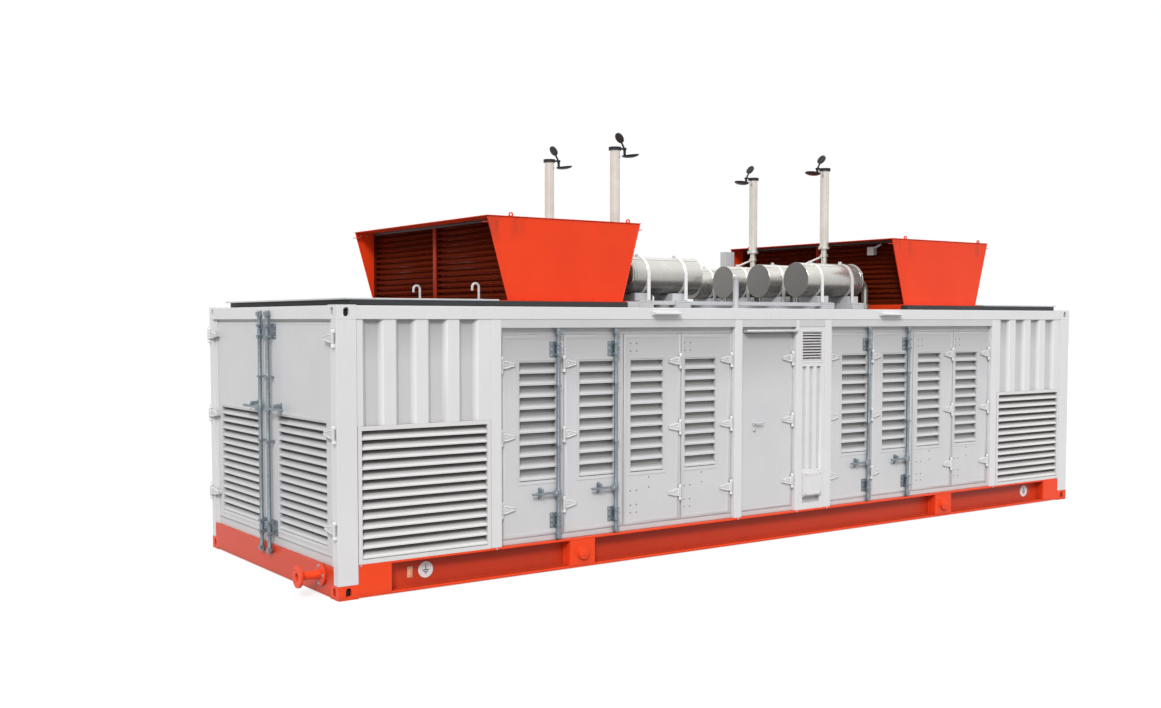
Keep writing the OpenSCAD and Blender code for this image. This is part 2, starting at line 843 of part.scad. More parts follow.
module door_a1() { color("gainsboro") bay_leaf(-bay_far, 0); }
module door_a2() { color("gainsboro") bay_leaf(-bay_far, 1); }
module door_a3() { color("gainsboro") bay_leaf(-bay_far, 2); }
module door_a4() { color("gainsboro") bay_leaf(-bay_far, 3); }
module door_b1() { color("gainsboro") bay_leaf(bay_near, 0); }
module door_b2() { color("gainsboro") bay_leaf(bay_near, 1); }
module door_b3() { color("gainsboro") bay_leaf(bay_near, 2); }
module door_b4() { color("gainsboro") bay_leaf(bay_near, 3); }
module lock_rod_a1() { bay_rod(-bay_far, 0); }
module lock_rod_a2() { bay_rod(-bay_far, 1); }
module lock_rod_b1() { bay_rod(bay_near, 0); }
module lock_rod_b2() { bay_rod(bay_near, 1); }

module personnel_door() {
  color("gainsboro") translate([pass_axis, axis_y, 0]) scale([-1, 1, 1]) {
    hung_leaf(leaf_start, pass_w - hinge_in - door_gap, hinge_out, leaf_low, leaf_top);
    for (i = [0 : 2]) translate([0, 0, hinge_low + i * hinge_step]) hinge_leaf(hinge_out, strap_l);
    translate([latch_at, hinge_out + 1, latch_z]) rotate([90, 0, 0]) {
      cylinder(d = 58, h = 11);
      cylinder(d = 22, h = 46);
    }
    translate([latch_at, hinge_out - 38, latch_z]) rotate([0, -90, 0]) cylinder(d = 20, h = 92);
  }
}

module end_leaf() {
  translate([end_axis_x, -end_axis_y, 0]) rotate([0, 0, 90]) scale([1, -1, 1]) {
    out = end_face_x - end_axis_x;
    louvred_leaf(end_leaf_start, end_leaf_reach, out, leaf_low, end_leaf_top,
      end_axis_y - end_louvre_y - end_louvre_w / 2, end_louvre_w, end_louvre_low, end_louvre_h,
      end_slat_n, end_cover);
    for (i = [0 : 2]) translate([0, 0, end_hinge_low + i * end_hinge_step]) {
      hinge_leaf(end_hinge_out - 6, end_strap_l);
      block(end_leaf_start + 3, end_strap_l - 6, end_hinge_out - 7, out + 1, -strap_h / 5,
        strap_h / 5);
    }
  }
}

module end_rod() {
  out = end_rod_out + end_recess;
  translate([-half_l - end_rod_out, -end_rod_y, 0]) rotate([0, 0, 90]) scale([1, -1, 1])
    lock_rod(out, end_beam_top - 73, rail_z + 80, leaf_low, end_leaf_top, end_guide_in, end_handle_z,
      end_handle_l, end_guide_l, end_guide_l);
}

module end_door_near() { color("gainsboro") end_leaf(); }
module end_door_far() { color("gainsboro") mirror([0, 1, 0]) end_leaf(); }
module end_rod_near() { color("slategray") end_rod(); }
module end_rod_far() { color("slategray") mirror([0, 1, 0]) end_rod(); }

module right_end_doors() {
  color("gainsboro") mirror([1, 0, 0]) both_sides() end_leaf();
}

module right_end_rods() {
  color("slategray") mirror([1, 0, 0]) both_sides() end_rod();
}

module rear_doors() {
  color("gainsboro") mirror([0, 1, 0])
    for (bay_x = [-bay_far, bay_near]) for (which = [0 : 3]) bay_leaf(bay_x, which);
}

module rear_rods() {
  mirror([0, 1, 0]) for (bay_x = [-bay_far, bay_near]) for (which = [0, 1]) bay_rod(bay_x, which);
}

module rear_middle_panel() {
  color("gainsboro") mirror([0, 1, 0]) {
    block(-post_near + fit_gap, pass_right - fit_gap, face_y, face_y + strip_front - fit_gap,
      base_h, header_z);
    block(column_x0 + fit_gap, post_near - fit_gap, face_y, face_y + strip_front - fit_gap,
      base_h, header_z);
  }
}

// fixed lugs over and under a knuckle on the z axis, with a tail to the frame behind or beside
module hinge_lug(to_side) {
  z = knuckle_l / 2 + fit_gap;
  for (s = [-1, 1]) translate([0, 0, s > 0 ? z : -z - lug_h]) {
    cylinder(r = knuckle_r - 2, h = lug_h);
    if (to_side) block(-hinge_in + fit_gap, 0, -5, 5, 0, lug_h);
    else block(-knuckle_r + 2, -4, 0, hinge_out + leaf_t + 8 - fit_gap, 0, lug_h);
  }
  if (to_side) block(-hinge_in + fit_gap, -knuckle_r - 2, -5, 5, -z, z);
  else block(-knuckle_r + 2, -4, hinge_out + 10, hinge_out + leaf_t + 8 - fit_gap, -z, z);
}

module hinge_column(to_side) {
  for (i = [0 : 2]) translate([0, 0, hinge_low + i * hinge_step]) hinge_lug(to_side);
}

// lugs over and under an end hinge knuckle, seated on the face of the corner post
module end_hinge_lugs() {
  z = knuckle_l / 2 + fit_gap;
  for (i = [0 : 2]) for (s = [0, 1])
    translate([0, 0, end_hinge_low + i * end_hinge_step + (s > 0 ? z : -z - lug_h)]) {
      cylinder(r = knuckle_r - 2, h = lug_h);
      block(-knuckle_r + 2, knuckle_r - 2, 0, end_hinge_out - fit_gap, 0, lug_h);
    }
}

module bay_lugs() {
  for (bay_x = [-bay_far, bay_near]) for (half = [0, 1])
    translate([bay_x + half * bay_l, axis_y, 0]) scale([half > 0 ? -1 : 1, 1, 1]) {
      translate([hinge_in, 0, 0]) hinge_column(true);
      translate([hinge_in + door_pitch, 0, 0]) hinge_column(false);
    }
}

module end_lugs() {
  both_sides() translate([end_axis_x, -end_axis_y, 0]) rotate([0, 0, 90]) scale([1, -1, 1])
    end_hinge_lugs();
}

module hinge_lugs() {
  color("gainsboro") {
    bay_lugs();
    translate([pass_axis, axis_y, 0]) scale([-1, 1, 1]) hinge_column(true);
    end_lugs();
  }
}

module rear_hinge_lugs() {
  color("gainsboro") {
    mirror([0, 1, 0]) bay_lugs();
    mirror([1, 0, 0]) end_lugs();
  }
}

module hood_side() {
  foot = hood_foot_l / 2;
  top = hood_top_l / 2;
  rotate([90, 0, 0]) linear_extrude(hood_t)
    polygon([[-foot, 0], [foot, 0], [top, hood_h - hood_t - fit_gap],
      [-top, hood_h - hood_t - fit_gap]]);
}

module hood() {
  foot = hood_foot_l / 2;
  tab = hood_top_l / 2 - 16;
  both_sides() union() {
    translate([0, -hood_w / 2 + hood_t, hood_z]) hood_side();
    block(-foot - 20, foot + 20, -hood_w / 2 - 40, -strip_y + strip_w, cover_z + fit_gap, hood_z);
    both_ends() block(-tab - 46, -tab + 20, -hood_w / 2, -hood_w / 2 + 40, hood_top_z - 64,
      hood_top_z - 58);
  }
  both_ends() block(-foot, -foot + curb_w, -curb_reach, curb_reach, strip_z, hood_z);
  difference() {
    union() {
      block(-hood_top_l / 2 - 8, hood_top_l / 2 + 8, -hood_w / 2 - 8, hood_w / 2 + 8,
        hood_top_z - hood_t, hood_top_z);
      at_eyes() translate([0, 0, hood_top_z + eye_d * 0.36]) rotate([90, 0, 0])
        cylinder(d = eye_d, h = 10);
    }
    at_eyes() translate([0, 1, hood_top_z + eye_d * 0.42]) rotate([90, 0, 0])
      cylinder(d = eye_d * 0.52, h = 12);
  }
}

module at_eyes() {
  both_sides() for (side = [-1, 1])
    translate([eye_shift + side * eye_x, -hood_w / 2 + eye_in, 0]) children();
}

module at_hoods() {
  for (side = [-1, 1]) translate([side * hood_x + hood_shift, 0, 0]) children();
}

module roof_hoods() {
  color("orangered") at_hoods() hood();
}

module hood_wall() {
  w = (hood_w - 2 * hood_t) / 2 - 2 * fit_gap;
  h = hood_h - hood_t - 2 * fit_gap;
  for (y = [-w - fit_gap, fit_gap])
    translate([-hood_foot_l / 2 + 2, y + w, hood_z + fit_gap]) rotate([0, 0, -90])
      louvre(w, h, 46, 30, hood_slat_n, hood_cover, slat_t);
}

module hood_louvres() {
  color("firebrick") at_hoods() for (turn = [0, 180]) rotate([0, 0, turn]) hood_wall();
}

module at_silencers() {
  for (i = [0 : 3]) for (side = [-1, 1])
    translate([group_x, silencer_y + i * silencer_step, silencer_z]) scale([side, 1, 1])
      children();
}

module silencers() {
  color("silver") at_silencers() translate([silencer_x, 0, 0]) {
    rotate([0, 90, 0]) cylinder(r = muffler_r, h = silencer_l);
    translate([silencer_l, 0, 0]) inlet_pipe();
  }
}

// the dished end of a silencer and the pipe that bends down to the roof
module inlet_pipe() {
  steps = 10;
  arc = [for (i = [0 : steps]) [muffler_r * cos(i * 9), dish * sin(i * 9)]];
  rotate([0, 90, 0]) rotate_extrude() polygon(concat([[0, -1], [muffler_r, -1]], arc));
  translate([-1, 0, 0]) rotate([0, 90, 0]) cylinder(d = inlet_d, h = inlet_run + 1);
  translate([inlet_run, 0, -inlet_bend]) rotate([90, 0, 0]) rotate_extrude(angle = 90)
    translate([inlet_bend, 0]) circle(d = inlet_d);
  translate([inlet_run + inlet_bend, 0, foot_z - silencer_z]) {
    cylinder(d = inlet_d, h = silencer_z - foot_z - inlet_bend);
    cylinder(d = inlet_d + 26, h = 62);
  }
}

// a strap ring round each silencer with a leg down each side to the foot beam
module silencer_straps() {
  inner = muffler_r + fit_gap;
  color("whitesmoke") at_silencers() for (at = [foot_a, foot_b])
    translate([silencer_x + at - band_off, 0, 0]) difference() {
      union() {
        rotate([0, 90, 0]) cylinder(r = inner + band_t, h = band_w, center = true);
        both_sides() block(-band_w / 2, band_w / 2, -inner - band_t, -inner + 8,
          foot_top + fit_gap - silencer_z, 0);
      }
      rotate([0, 90, 0]) cylinder(r = inner, h = band_w + 2, center = true);
    }
}

module silencer_feet() {
  saddle_z = silencer_z - muffler_r + 12;
  color("lightgray") {
    for (side = [-1, 1]) for (at = [foot_a, foot_b])
      translate([group_x + side * (silencer_x + at), 0, 0]) difference() {
        union() {
          block(-foot_w / 2, foot_w / 2, feet_low_y, feet_high_y, foot_z, foot_top);
          for (i = [0 : 3]) translate([0, silencer_y + i * silencer_step, 0])
            block(-foot_w / 2 + 12, foot_w / 2 - 12, -150, 150, foot_top - 1, saddle_z);
        }
        for (i = [0 : 3]) translate([0, silencer_y + i * silencer_step, silencer_z])
          rotate([0, 90, 0]) cylinder(r = muffler_r + band_t + 2 * fit_gap, h = 400, center = true);
      }
    for (y = [feet_low_y + 30, feet_high_y - 70]) {
      tie_bar(-silencer_x - foot_b, -silencer_x - foot_a, y);
      tie_bar(-silencer_x - foot_a, silencer_x + foot_a, y);
    }
  }
}

// a bar between the foot beams at two places along the container
module tie_bar(x0, x1, y) {
  block(group_x + x0 + foot_w / 2 + fit_gap, group_x + x1 - foot_w / 2 - fit_gap, y, y + 40,
    foot_top - tie_h, foot_top);
}

// the stays: a tube from each stack to a post on the foot beam near the flat silencer ends
module stay() {
  run = foot_b - 6 - foot_a;
  tilt = atan2(stay_drop, run);
  translate([0, 0, stay_z]) cylinder(d = stack_low_d + 22, h = 34, center = true);
  translate([0, 0, stay_z]) rotate([0, -90 - tilt, 0])
    cylinder(d = 26, h = norm([run, stay_drop]) - 4);
  translate([-run, 0, foot_top + fit_gap])
    cylinder(d = 34, h = stay_z - stay_drop - foot_top + 12);
}

module exhaust_stacks() {
  color("silver") for (side = [-1, 1]) for (y = stack_y)
    translate([group_x + side * stack_at, y, 0]) scale([side, 1, 1]) {
      difference() {
        union() {
          translate([0, 0, foot_top + fit_gap])
            cylinder(d = stack_low_d, h = flange_z - foot_top);
          translate([0, 0, flange_z]) cylinder(d = stack_d, h = stack_top - flange_z);
          translate([0, 0, flange_z]) cylinder(d = stack_d + 24, h = 22);
          for (s = [-1, 1]) translate([s * (stack_d / 2 + 18), 0, flange_z])
            cylinder(d = 34, h = 22);
          block(-stack_d / 2 - 18, stack_d / 2 + 18, -17, 17, flange_z, flange_z + 22);
        }
        translate([0, 0, stack_top - 200]) cylinder(d = stack_d - 6, h = 201);
      }
      stay();
    }
}

// an open rain cap: a collar on the stack, the flap swung right over, its weight on an arm
module rain_caps() {
  hinge_x = -stack_d / 2 - cap_out;
  color("#202020") for (side = [-1, 1]) for (y = stack_y)
    translate([group_x + side * stack_at, y, stack_top]) scale([side, 1, 1]) union() {
      translate([0, 0, -28]) difference() {
        cylinder(d = stack_d + 28, h = 32);
        translate([0, 0, -1]) cylinder(d = stack_d + 2 * fit_gap, h = 34);
      }
      block(hinge_x, -stack_d / 2 - 4, -10, 10, -14, 3);
      translate([hinge_x, 0, -6]) rotate([90, 0, 0]) cylinder(d = 26, h = 42, center = true);
      block(hinge_x - 12, hinge_x + 8, -10, 10, -66, -6);
      translate([hinge_x - cap_d * 0.42, 0, -58]) rotate([0, 7, 0]) flap_dish();
      translate([hinge_x, 0, -6]) rotate([0, 31, 0]) {
        cylinder(d = 20, h = 100);
        translate([-8, 0, 126]) rotate([0, 90, 0]) cylinder(d = weight_d, h = 16);
      }
    }
}

// the flap upside down: flat on top, dished below
module flap_dish() {
  steps = 6;
  arc = [for (i = [0 : steps]) [cap_d / 2 * cos(i * 15), -5 - 26 * sin(i * 15)]];
  rotate_extrude() polygon(concat([[0, 0], [cap_d / 2, 0]], arc));
}

module gooseneck(h) {
  r = 11;
  bend = 34;
  cylinder(r = r, h = h);
  translate([-bend, 0, h]) rotate([90, 0, 0]) rotate_extrude(angle = 180)
    translate([bend, 0]) circle(r = r);
  translate([-2 * bend, 0, h - 30]) cylinder(r = r, h = 30);
}

module roof_vents() {
  edge = -strip_x - cover_over + cover_l;
  color("silver") {
    translate([edge - vent_in, -half_w + vent_deep, cover_z + cover_t + fit_gap])
      gooseneck(vent_rise);
    translate([edge - vent_edge, -half_w + vent_y, cover_z + cover_t + fit_gap])
      gooseneck(vent_rise);
    translate([breather_x, -half_w + vent_y - 130, strip_z]) {
      cylinder(d = breather_d, h = breather_h);
      cylinder(d = breather_d + 50, h = 8);
      translate([0, 0, breather_h - 1]) cylinder(d = breather_d + 10, h = 27);
    }
    block(hood_shift - hood_foot_out + 60, hood_shift - hood_foot_out + 215, -strip_y + 100,
      -strip_y + 200, strip_z, strip_z + 60);
    block(duct_x, duct_x + duct_w, feet_high_y + 10, feet_high_y + 110, strip_z,
      hood_top_z - duct_drop);
    junction_box();
  }
}

// a junction box on the inner louvre wall of the right hood, with a bent conduit
module junction_box() {
  x = hood_x + hood_shift - hood_foot_l / 2 + 2 + blade_in - fit_gap;
  z = hood_top_z - 120;
  w = junction_w;
  translate([x, junction_y, z]) union() {
    block(-60, 0, -w / 2, w / 2, -w / 2, w / 2);
    translate([-30, -w / 2 + 14, w / 2 - 12]) rotate([70, 0, 0]) cylinder(d = 24, h = 110);
  }
}

// a flanged pipe spool that stands out of the end beam
module gas_inlet() {
  reach = gas_out - fit_gap;
  color("orangered") translate([-half_l - gas_out, gas_y, gas_z]) rotate([0, 90, 0])
    difference() {
      union() {
        cylinder(d = gas_flange_d, h = gas_flange_t);
        cylinder(d = gas_pipe_d, h = reach);
        translate([0, 0, reach - gas_flange_t]) cylinder(d = gas_flange_d, h = gas_flange_t);
      }
      translate([0, 0, -1]) cylinder(d = gas_bore_d, h = reach - 20);
      for (i = [0 : gas_hole_n - 1]) rotate([0, 0, 45 + i * 360 / gas_hole_n])
        translate([gas_pcd / 2, 0, -1]) cylinder(d = gas_hole_d, h = gas_flange_t + 2);
    }
}

base_beams();
cross_members();
floor_plate();
lifting_blocks();
bottom_castings();
top_castings();
corner_posts();
top_rails();
roof_panel();
roof_edge_strips();
roof_cover_plates();
side_posts();
side_headers();
door_mullions();
corrugated_panels();
side_louvres();
rail_steps();
middle_column();
vent_grille();
cable_box();
hinge_lugs();
rear_hinge_lugs();
door_a1();
door_a2();
door_a3();
door_a4();
door_b1();
door_b2();
door_b3();
door_b4();
lock_rod_a1();
lock_rod_a2();
lock_rod_b1();
lock_rod_b2();
personnel_door();
end_door_near();
end_door_far();
end_rod_near();
end_rod_far();
rear_doors();
rear_rods();
rear_middle_panel();
right_end_doors();
right_end_rods();
roof_hoods();
hood_louvres();
silencers();
silencer_straps();
silencer_feet();
exhaust_stacks();
rain_caps();
roof_vents();
gas_inlet();
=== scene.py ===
import json
import math

import bmesh
import bpy
from mathutils import Matrix, Vector


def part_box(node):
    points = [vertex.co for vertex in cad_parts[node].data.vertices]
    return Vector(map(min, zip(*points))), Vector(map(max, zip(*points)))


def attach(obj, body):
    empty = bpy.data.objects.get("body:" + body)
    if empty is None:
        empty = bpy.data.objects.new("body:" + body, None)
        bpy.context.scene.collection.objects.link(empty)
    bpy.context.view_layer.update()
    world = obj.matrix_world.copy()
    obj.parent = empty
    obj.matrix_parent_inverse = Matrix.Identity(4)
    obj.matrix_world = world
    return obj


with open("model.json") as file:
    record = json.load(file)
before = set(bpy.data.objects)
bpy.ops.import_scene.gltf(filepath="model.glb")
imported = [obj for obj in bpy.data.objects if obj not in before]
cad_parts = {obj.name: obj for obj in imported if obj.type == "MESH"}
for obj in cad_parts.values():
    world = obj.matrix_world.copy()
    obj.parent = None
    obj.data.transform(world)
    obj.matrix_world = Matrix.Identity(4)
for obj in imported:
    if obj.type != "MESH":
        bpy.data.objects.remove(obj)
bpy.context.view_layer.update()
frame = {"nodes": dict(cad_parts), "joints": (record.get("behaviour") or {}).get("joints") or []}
nodes = frame["nodes"]
print("frame loaded:", len(nodes), "nodes")


# shader helpers

def addNode(tree, kind, **settings):
    node = tree.nodes.new(kind)
    for key, value in settings.items():
        setattr(node, key, value)
    return node


def feed(tree, socket, value):
    # a socket takes a number, a colour or another node's output
    if isinstance(value, bpy.types.NodeSocket):
        tree.links.new(value, socket)
    elif isinstance(value, (tuple, list)) and socket.type == "RGBA":
        socket.default_value = (*value, 1.0)
    else:
        socket.default_value = value


def mathNode(tree, operation, first, second=None, clamp=False):
    node = addNode(tree, "ShaderNodeMath", operation=operation, use_clamp=clamp)
    feed(tree, node.inputs[0], first)
    if second is not None:
        feed(tree, node.inputs[1], second)
    return node.outputs[0]


def multiplied(tree, *factors):
    product = factors[0]
    for factor in factors[1:]:
        product = mathNode(tree, "MULTIPLY", product, factor)
    return product


def mapRange(tree, value, fromLow, fromHigh, toLow=0.0, toHigh=1.0):
    node = addNode(tree, "ShaderNodeMapRange", clamp=True)
    labels = ["Value", "From Min", "From Max", "To Min", "To Max"]
    for label, number in zip(labels, [value, fromLow, fromHigh, toLow, toHigh]):
        feed(tree, node.inputs[label], number)
    return node.outputs["Result"]


def mixColour(tree, share, under, over):
    node = addNode(tree, "ShaderNodeMix", data_type="RGBA")
    for socket, value in zip([node.inputs["Factor"], node.inputs[6], node.inputs[7]], [share, under, over]):
        feed(tree, socket, value)
    return node.outputs[2]


def noiseValue(tree, scale, detail=2.0, stretch=None, roughness=0.5):
    coords = addNode(tree, "ShaderNodeTexCoord").outputs["Object"]
    if stretch is not None:
        mapping = addNode(tree, "ShaderNodeMapping")
        feed(tree, mapping.inputs["Scale"], stretch)
        feed(tree, mapping.inputs["Vector"], coords)
        coords = mapping.outputs["Vector"]
    noise = addNode(tree, "ShaderNodeTexNoise")
    for label, value in [("Vector", coords), ("Detail", detail), ("Roughness", roughness), ("Scale", scale)]:
        feed(tree, noise.inputs[label], value)
    return noise.outputs[0]


def split(tree, source):
    parts = addNode(tree, "ShaderNodeSeparateXYZ")
    feed(tree, parts.inputs[0], source)
    return parts.outputs["X"], parts.outputs["Y"], parts.outputs["Z"]


def placeParts(tree):
    return split(tree, addNode(tree, "ShaderNodeTexCoord").outputs["Object"])


def normalParts(tree, kind="Normal"):
    return split(tree, addNode(tree, "ShaderNodeNewGeometry").outputs[kind])


def bumpNode(tree, strength, distance, height, under=None):
    bump = addNode(tree, "ShaderNodeBump")
    feed(tree, bump.inputs["Strength"], strength)
    feed(tree, bump.inputs["Distance"], distance)
    feed(tree, bump.inputs["Height"], height)
    if under is not None:
        feed(tree, bump.inputs["Normal"], under)
    return bump.outputs["Normal"]


def newGroup(name, inputs, outputs):
    group = bpy.data.node_groups.new(name, "ShaderNodeTree")
    for label, value in inputs.items():
        socket = group.interface.new_socket(name=label, in_out="INPUT", socket_type="NodeSocketFloat")
        socket.default_value = value
    for label, kind in outputs.items():
        group.interface.new_socket(name=label, in_out="OUTPUT", socket_type="NodeSocket" + kind)
    return group, group.nodes.new("NodeGroupInput").outputs, group.nodes.new("NodeGroupOutput").inputs


def usedGroup(tree, group, values):
    node = addNode(tree, "ShaderNodeGroup", node_tree=group)
    for label, value in values.items():
        feed(tree, node.inputs[label], value)
    return node.outputs


# shared effects, each built once

def makeSurfaceGrain():
    # fine orange peel for roughness and bump, and a slow tone that wanders over a sheet
    group, inlet, outlet = newGroup("surfaceGrain", {"Fine Scale": 260.0, "Tone Scale": 1.3},
                                    {"Fine": "Float", "Tone": "Float"})
    feed(group, outlet["Fine"], noiseValue(group, inlet["Fine Scale"], 2.0))
    feed(group, outlet["Tone"], noiseValue(group, inlet["Tone Scale"], 5.0, None, 0.6))
    return group


def makeEdgeWear():
    # bright along outer edges, broken up by noise
    group, inlet, outlet = newGroup("edgeWear", {"Radius": 0.004, "Breakup": 22.0},
                                    {"Mask": "Float", "Normal": "Vector"})
    bevel = addNode(group, "ShaderNodeBevel", samples=4)
    feed(group, bevel.inputs["Radius"], inlet["Radius"])
    dot = addNode(group, "ShaderNodeVectorMath", operation="DOT_PRODUCT")
    feed(group, dot.inputs[0], bevel.outputs["Normal"])
    feed(group, dot.inputs[1], addNode(group, "ShaderNodeNewGeometry").outputs["Normal"])
    edge = mapRange(group, dot.outputs["Value"], 0.985, 0.80)
    broken = mapRange(group, noiseValue(group, inlet["Breakup"], 5.0), 0.42, 0.66)
    feed(group, outlet["Mask"], multiplied(group, edge, broken))
    feed(group, outlet["Normal"], bevel.outputs["Normal"])
    return group


def makeSettledDust():
    # lies on faces that look up, and creeps up the lowest part of the object
    group, inlet, outlet = newGroup("settledDust", {"Splash Height": 0.25, "Patch Scale": 6.0},
                                    {"Mask": "Float"})
    level = mapRange(group, normalParts(group)[2], 0.45, 1.0)
    low = mapRange(group, placeParts(group)[2], 0.0, inlet["Splash Height"], 0.8, 0.0)
    patches = mapRange(group, noiseValue(group, inlet["Patch Scale"], 6.0, None, 0.65), 0.35, 0.75, 0.15, 1.0)
    feed(group, outlet["Mask"], multiplied(group, mathNode(group, "MAXIMUM", level, low), patches))
    return group


def makeRainStreaks():
    # thin upright runs on faces that stand
    group, inlet, outlet = newGroup("rainStreaks", {"Width Scale": 26.0}, {"Mask": "Float"})
    runs = mapRange(group, noiseValue(group, inlet["Width Scale"], 3.0, (1.0, 1.0, 0.035), 0.6), 0.52, 0.78)
    patches = mapRange(group, noiseValue(group, 1.7, 3.0), 0.4, 0.7)
    standing = mapRange(group, mathNode(group, "ABSOLUTE", normalParts(group)[2]), 0.25, 0.6, 1.0, 0.0)
    feed(group, outlet["Mask"], multiplied(group, runs, patches, standing))
    return group


def makeCornerGrime():
    # darkens where faces meet or hide one another: painted shade from ambient occlusion, broken up into grime
    # patches
    group, inlet, outlet = newGroup("cornerGrime", {"Reach": 0.05, "Breakup": 9.0}, {"Mask": "Float"})
    hollow = addNode(group, "ShaderNodeAmbientOcclusion", samples=4)
    feed(group, hollow.inputs["Distance"], inlet["Reach"])
    closed = mapRange(group, hollow.outputs["AO"], 0.35, 0.95, 1.0, 0.0)
    patches = mapRange(group, noiseValue(group, inlet["Breakup"], 4.0), 0.3, 0.65, 0.35, 1.0)
    feed(group, outlet["Mask"], multiplied(group, closed, patches))
    return group


surfaceGrain = makeSurfaceGrain()
edgeWear = makeEdgeWear()
settledDust = makeSettledDust()
rainStreaks = makeRainStreaks()
cornerGrime = makeCornerGrime()
print("shared effects:", len(bpy.data.node_groups))


# finishes

def freshMaterial(name):
    material = bpy.data.materials.new(name)
    material.use_nodes = True
    tree = material.node_tree
    tree.nodes.clear()
    shader = addNode(tree, "ShaderNodeBsdfPrincipled")
    feed(tree, addNode(tree, "ShaderNodeOutputMaterial").inputs["Surface"], shader.outputs["BSDF"])
    return material, tree, shader.inputs


def worn(tree, colour, look, effect, settings, share, over):
    # one shared effect laid over the colour, with its outputs and its share of the surface
    outputs = usedGroup(tree, effect, settings)
    amount = multiplied(tree, outputs["Mask"], look[share])
    return mixColour(tree, amount, colour, look[over]), outputs, amount


def paintFinish(name, look):
    material, tree, shader = freshMaterial(name)
    grain = usedGroup(tree, surfaceGrain, {"Fine Scale": look["peelScale"], "Tone Scale": look["toneScale"]})
    colour = mixColour(tree, mapRange(tree, grain["Tone"], 0.3, 0.7), look["shade"], look["colour"])
    # an extra darkening over the colour: painted shade on leaves, blades, troughs and beam web, darker
    # patches on the hoods
    if "extraMask" in look:
        colour = mixColour(tree, look["extraMask"](tree), colour, look["extraColour"])
    colour = worn(tree, colour, look, rainStreaks, {"Width Scale": look["streakScale"]}, "streaks",
                  "grimeColour")[0]
    # corner grime that is also painted shade where faces meet or hide one another
    colour = worn(tree, colour, look, cornerGrime, {"Reach": look["grimeReach"]}, "grime", "grimeColour")[0]
    colour, _, dustShare = worn(tree, colour, look, settledDust, {"Splash Height": look["splashHeight"]},
                                "dust", "dustColour")
    colour, wear, _ = worn(tree, colour, look, edgeWear, {"Radius": look["edgeRadius"]}, "edges",
                           "edgeColour")
    feed(tree, shader["Base Color"], colour)
    rough = mapRange(tree, grain["Fine"], 0.3, 0.7, look["roughness"] - 0.05, look["roughness"] + 0.05)
    feed(tree, shader["Roughness"], mathNode(tree, "ADD", rough, multiplied(tree, dustShare, 0.4), True))
    wave = bumpNode(tree, look["waviness"], 0.02, grain["Tone"], wear["Normal"])
    feed(tree, shader["Normal"], bumpNode(tree, look["peel"], 0.0006, grain["Fine"], wave))
    feed(tree, shader["Specular IOR Level"], look["gloss"])
    return material


def metalFinish(name, look):
    material, tree, shader = freshMaterial(name)
    feed(tree, shader["Metallic"], look["metallic"])
    brush = noiseValue(tree, look["brushScale"], 3.0, look["brushStretch"], 0.7)
    cloud = noiseValue(tree, look["cloudScale"], 4.0, None, 0.6)
    spread = look["roughSpread"]
    colour = mixColour(tree, mapRange(tree, cloud, 0.35, 0.68), look["shade"], look["colour"])
    rough = mapRange(tree, brush, 0.3, 0.7, look["roughness"] - spread, look["roughness"] + spread)
    if "endFace" in look:
        # the flat ends are a plain matte sheet
        endwise = mathNode(tree, "ABSOLUTE", normalParts(tree, "True Normal")[0])
        flatEnd = mapRange(tree, endwise, 0.990, 0.996)
        colour = mixColour(tree, flatEnd, colour, look["endFace"])
        rough = mathNode(tree, "ADD", rough, multiplied(tree, flatEnd, 0.25), True)
    if "underside" in look:
        # painted shade on the underside of round steel
        below = mapRange(tree, normalParts(tree)[2], 0.35, -0.55, 0.0, look["underside"])
        colour = mixColour(tree, below, colour, look["sootColour"])
    # corner grime that is also painted shade where faces meet or hide one another
    colour = worn(tree, colour, look, cornerGrime, {"Reach": look["grimeReach"]}, "grime", "grimeColour")[0]
    colour, wear, _ = worn(tree, colour, look, edgeWear, {"Radius": look["edgeRadius"]}, "edges",
                           "edgeColour")
    feed(tree, shader["Base Color"], colour)
    blotch = mapRange(tree, cloud, 0.35, 0.7, 0.0, spread)
    feed(tree, shader["Roughness"], mathNode(tree, "ADD", rough, blotch, True))
    feed(tree, shader["Normal"], bumpNode(tree, look["brushBump"], 0.0004, brush, wear["Normal"]))
    return material


def meshFinish(name, look):
    # woven wire with the dark room behind it painted into the gaps as painted shade
    material, tree, shader = freshMaterial(name)
    x, y, z = placeParts(tree)
    wires = []
    for axis in [mathNode(tree, "ADD", x, y), z]:
        wave = mathNode(tree, "SINE", multiplied(tree, axis, 2 * math.pi / look["wirePitch"]))
        wires.append(mapRange(tree, wave, 0.35, 0.9))
    wire = mathNode(tree, "MAXIMUM", *wires)
    feed(tree, shader["Base Color"], mixColour(tree, wire, look["gapColour"], look["wireColour"]))
    feed(tree, shader["Roughness"], 0.6)
    feed(tree, shader["Normal"], bumpNode(tree, 0.5, 0.0015, wire))
    return material


# masks that follow the shape of one piece

def depthBehind(tree, axis, face, start, reach):
    # how far a point lies behind a face, from nothing to full over a short reach
    return mapRange(tree, mathNode(tree, "ABSOLUTE", axis), face - start, face - reach)


beamShadeLook = {"faceY": -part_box("base_beams")[0][1], "blockX": 4.522, "webShade": (0.012, 0.03), "fade": 0.30,
            "nearBlocks": 0.55, "shadeShare": 0.62}


def channelMask(tree):
    # painted shade on the recessed web between the flanges of a side beam, which stays in the shade
    x, y, z = placeParts(tree)
    behind = depthBehind(tree, y, beamShadeLook["faceY"], *beamShadeLook["webShade"])
    between = mapRange(tree, mathNode(tree, "ABSOLUTE", x), beamShadeLook["blockX"] - beamShadeLook["fade"],
                       beamShadeLook["blockX"], 1.0, beamShadeLook["nearBlocks"])
    return multiplied(tree, behind, between, beamShadeLook["shadeShare"])


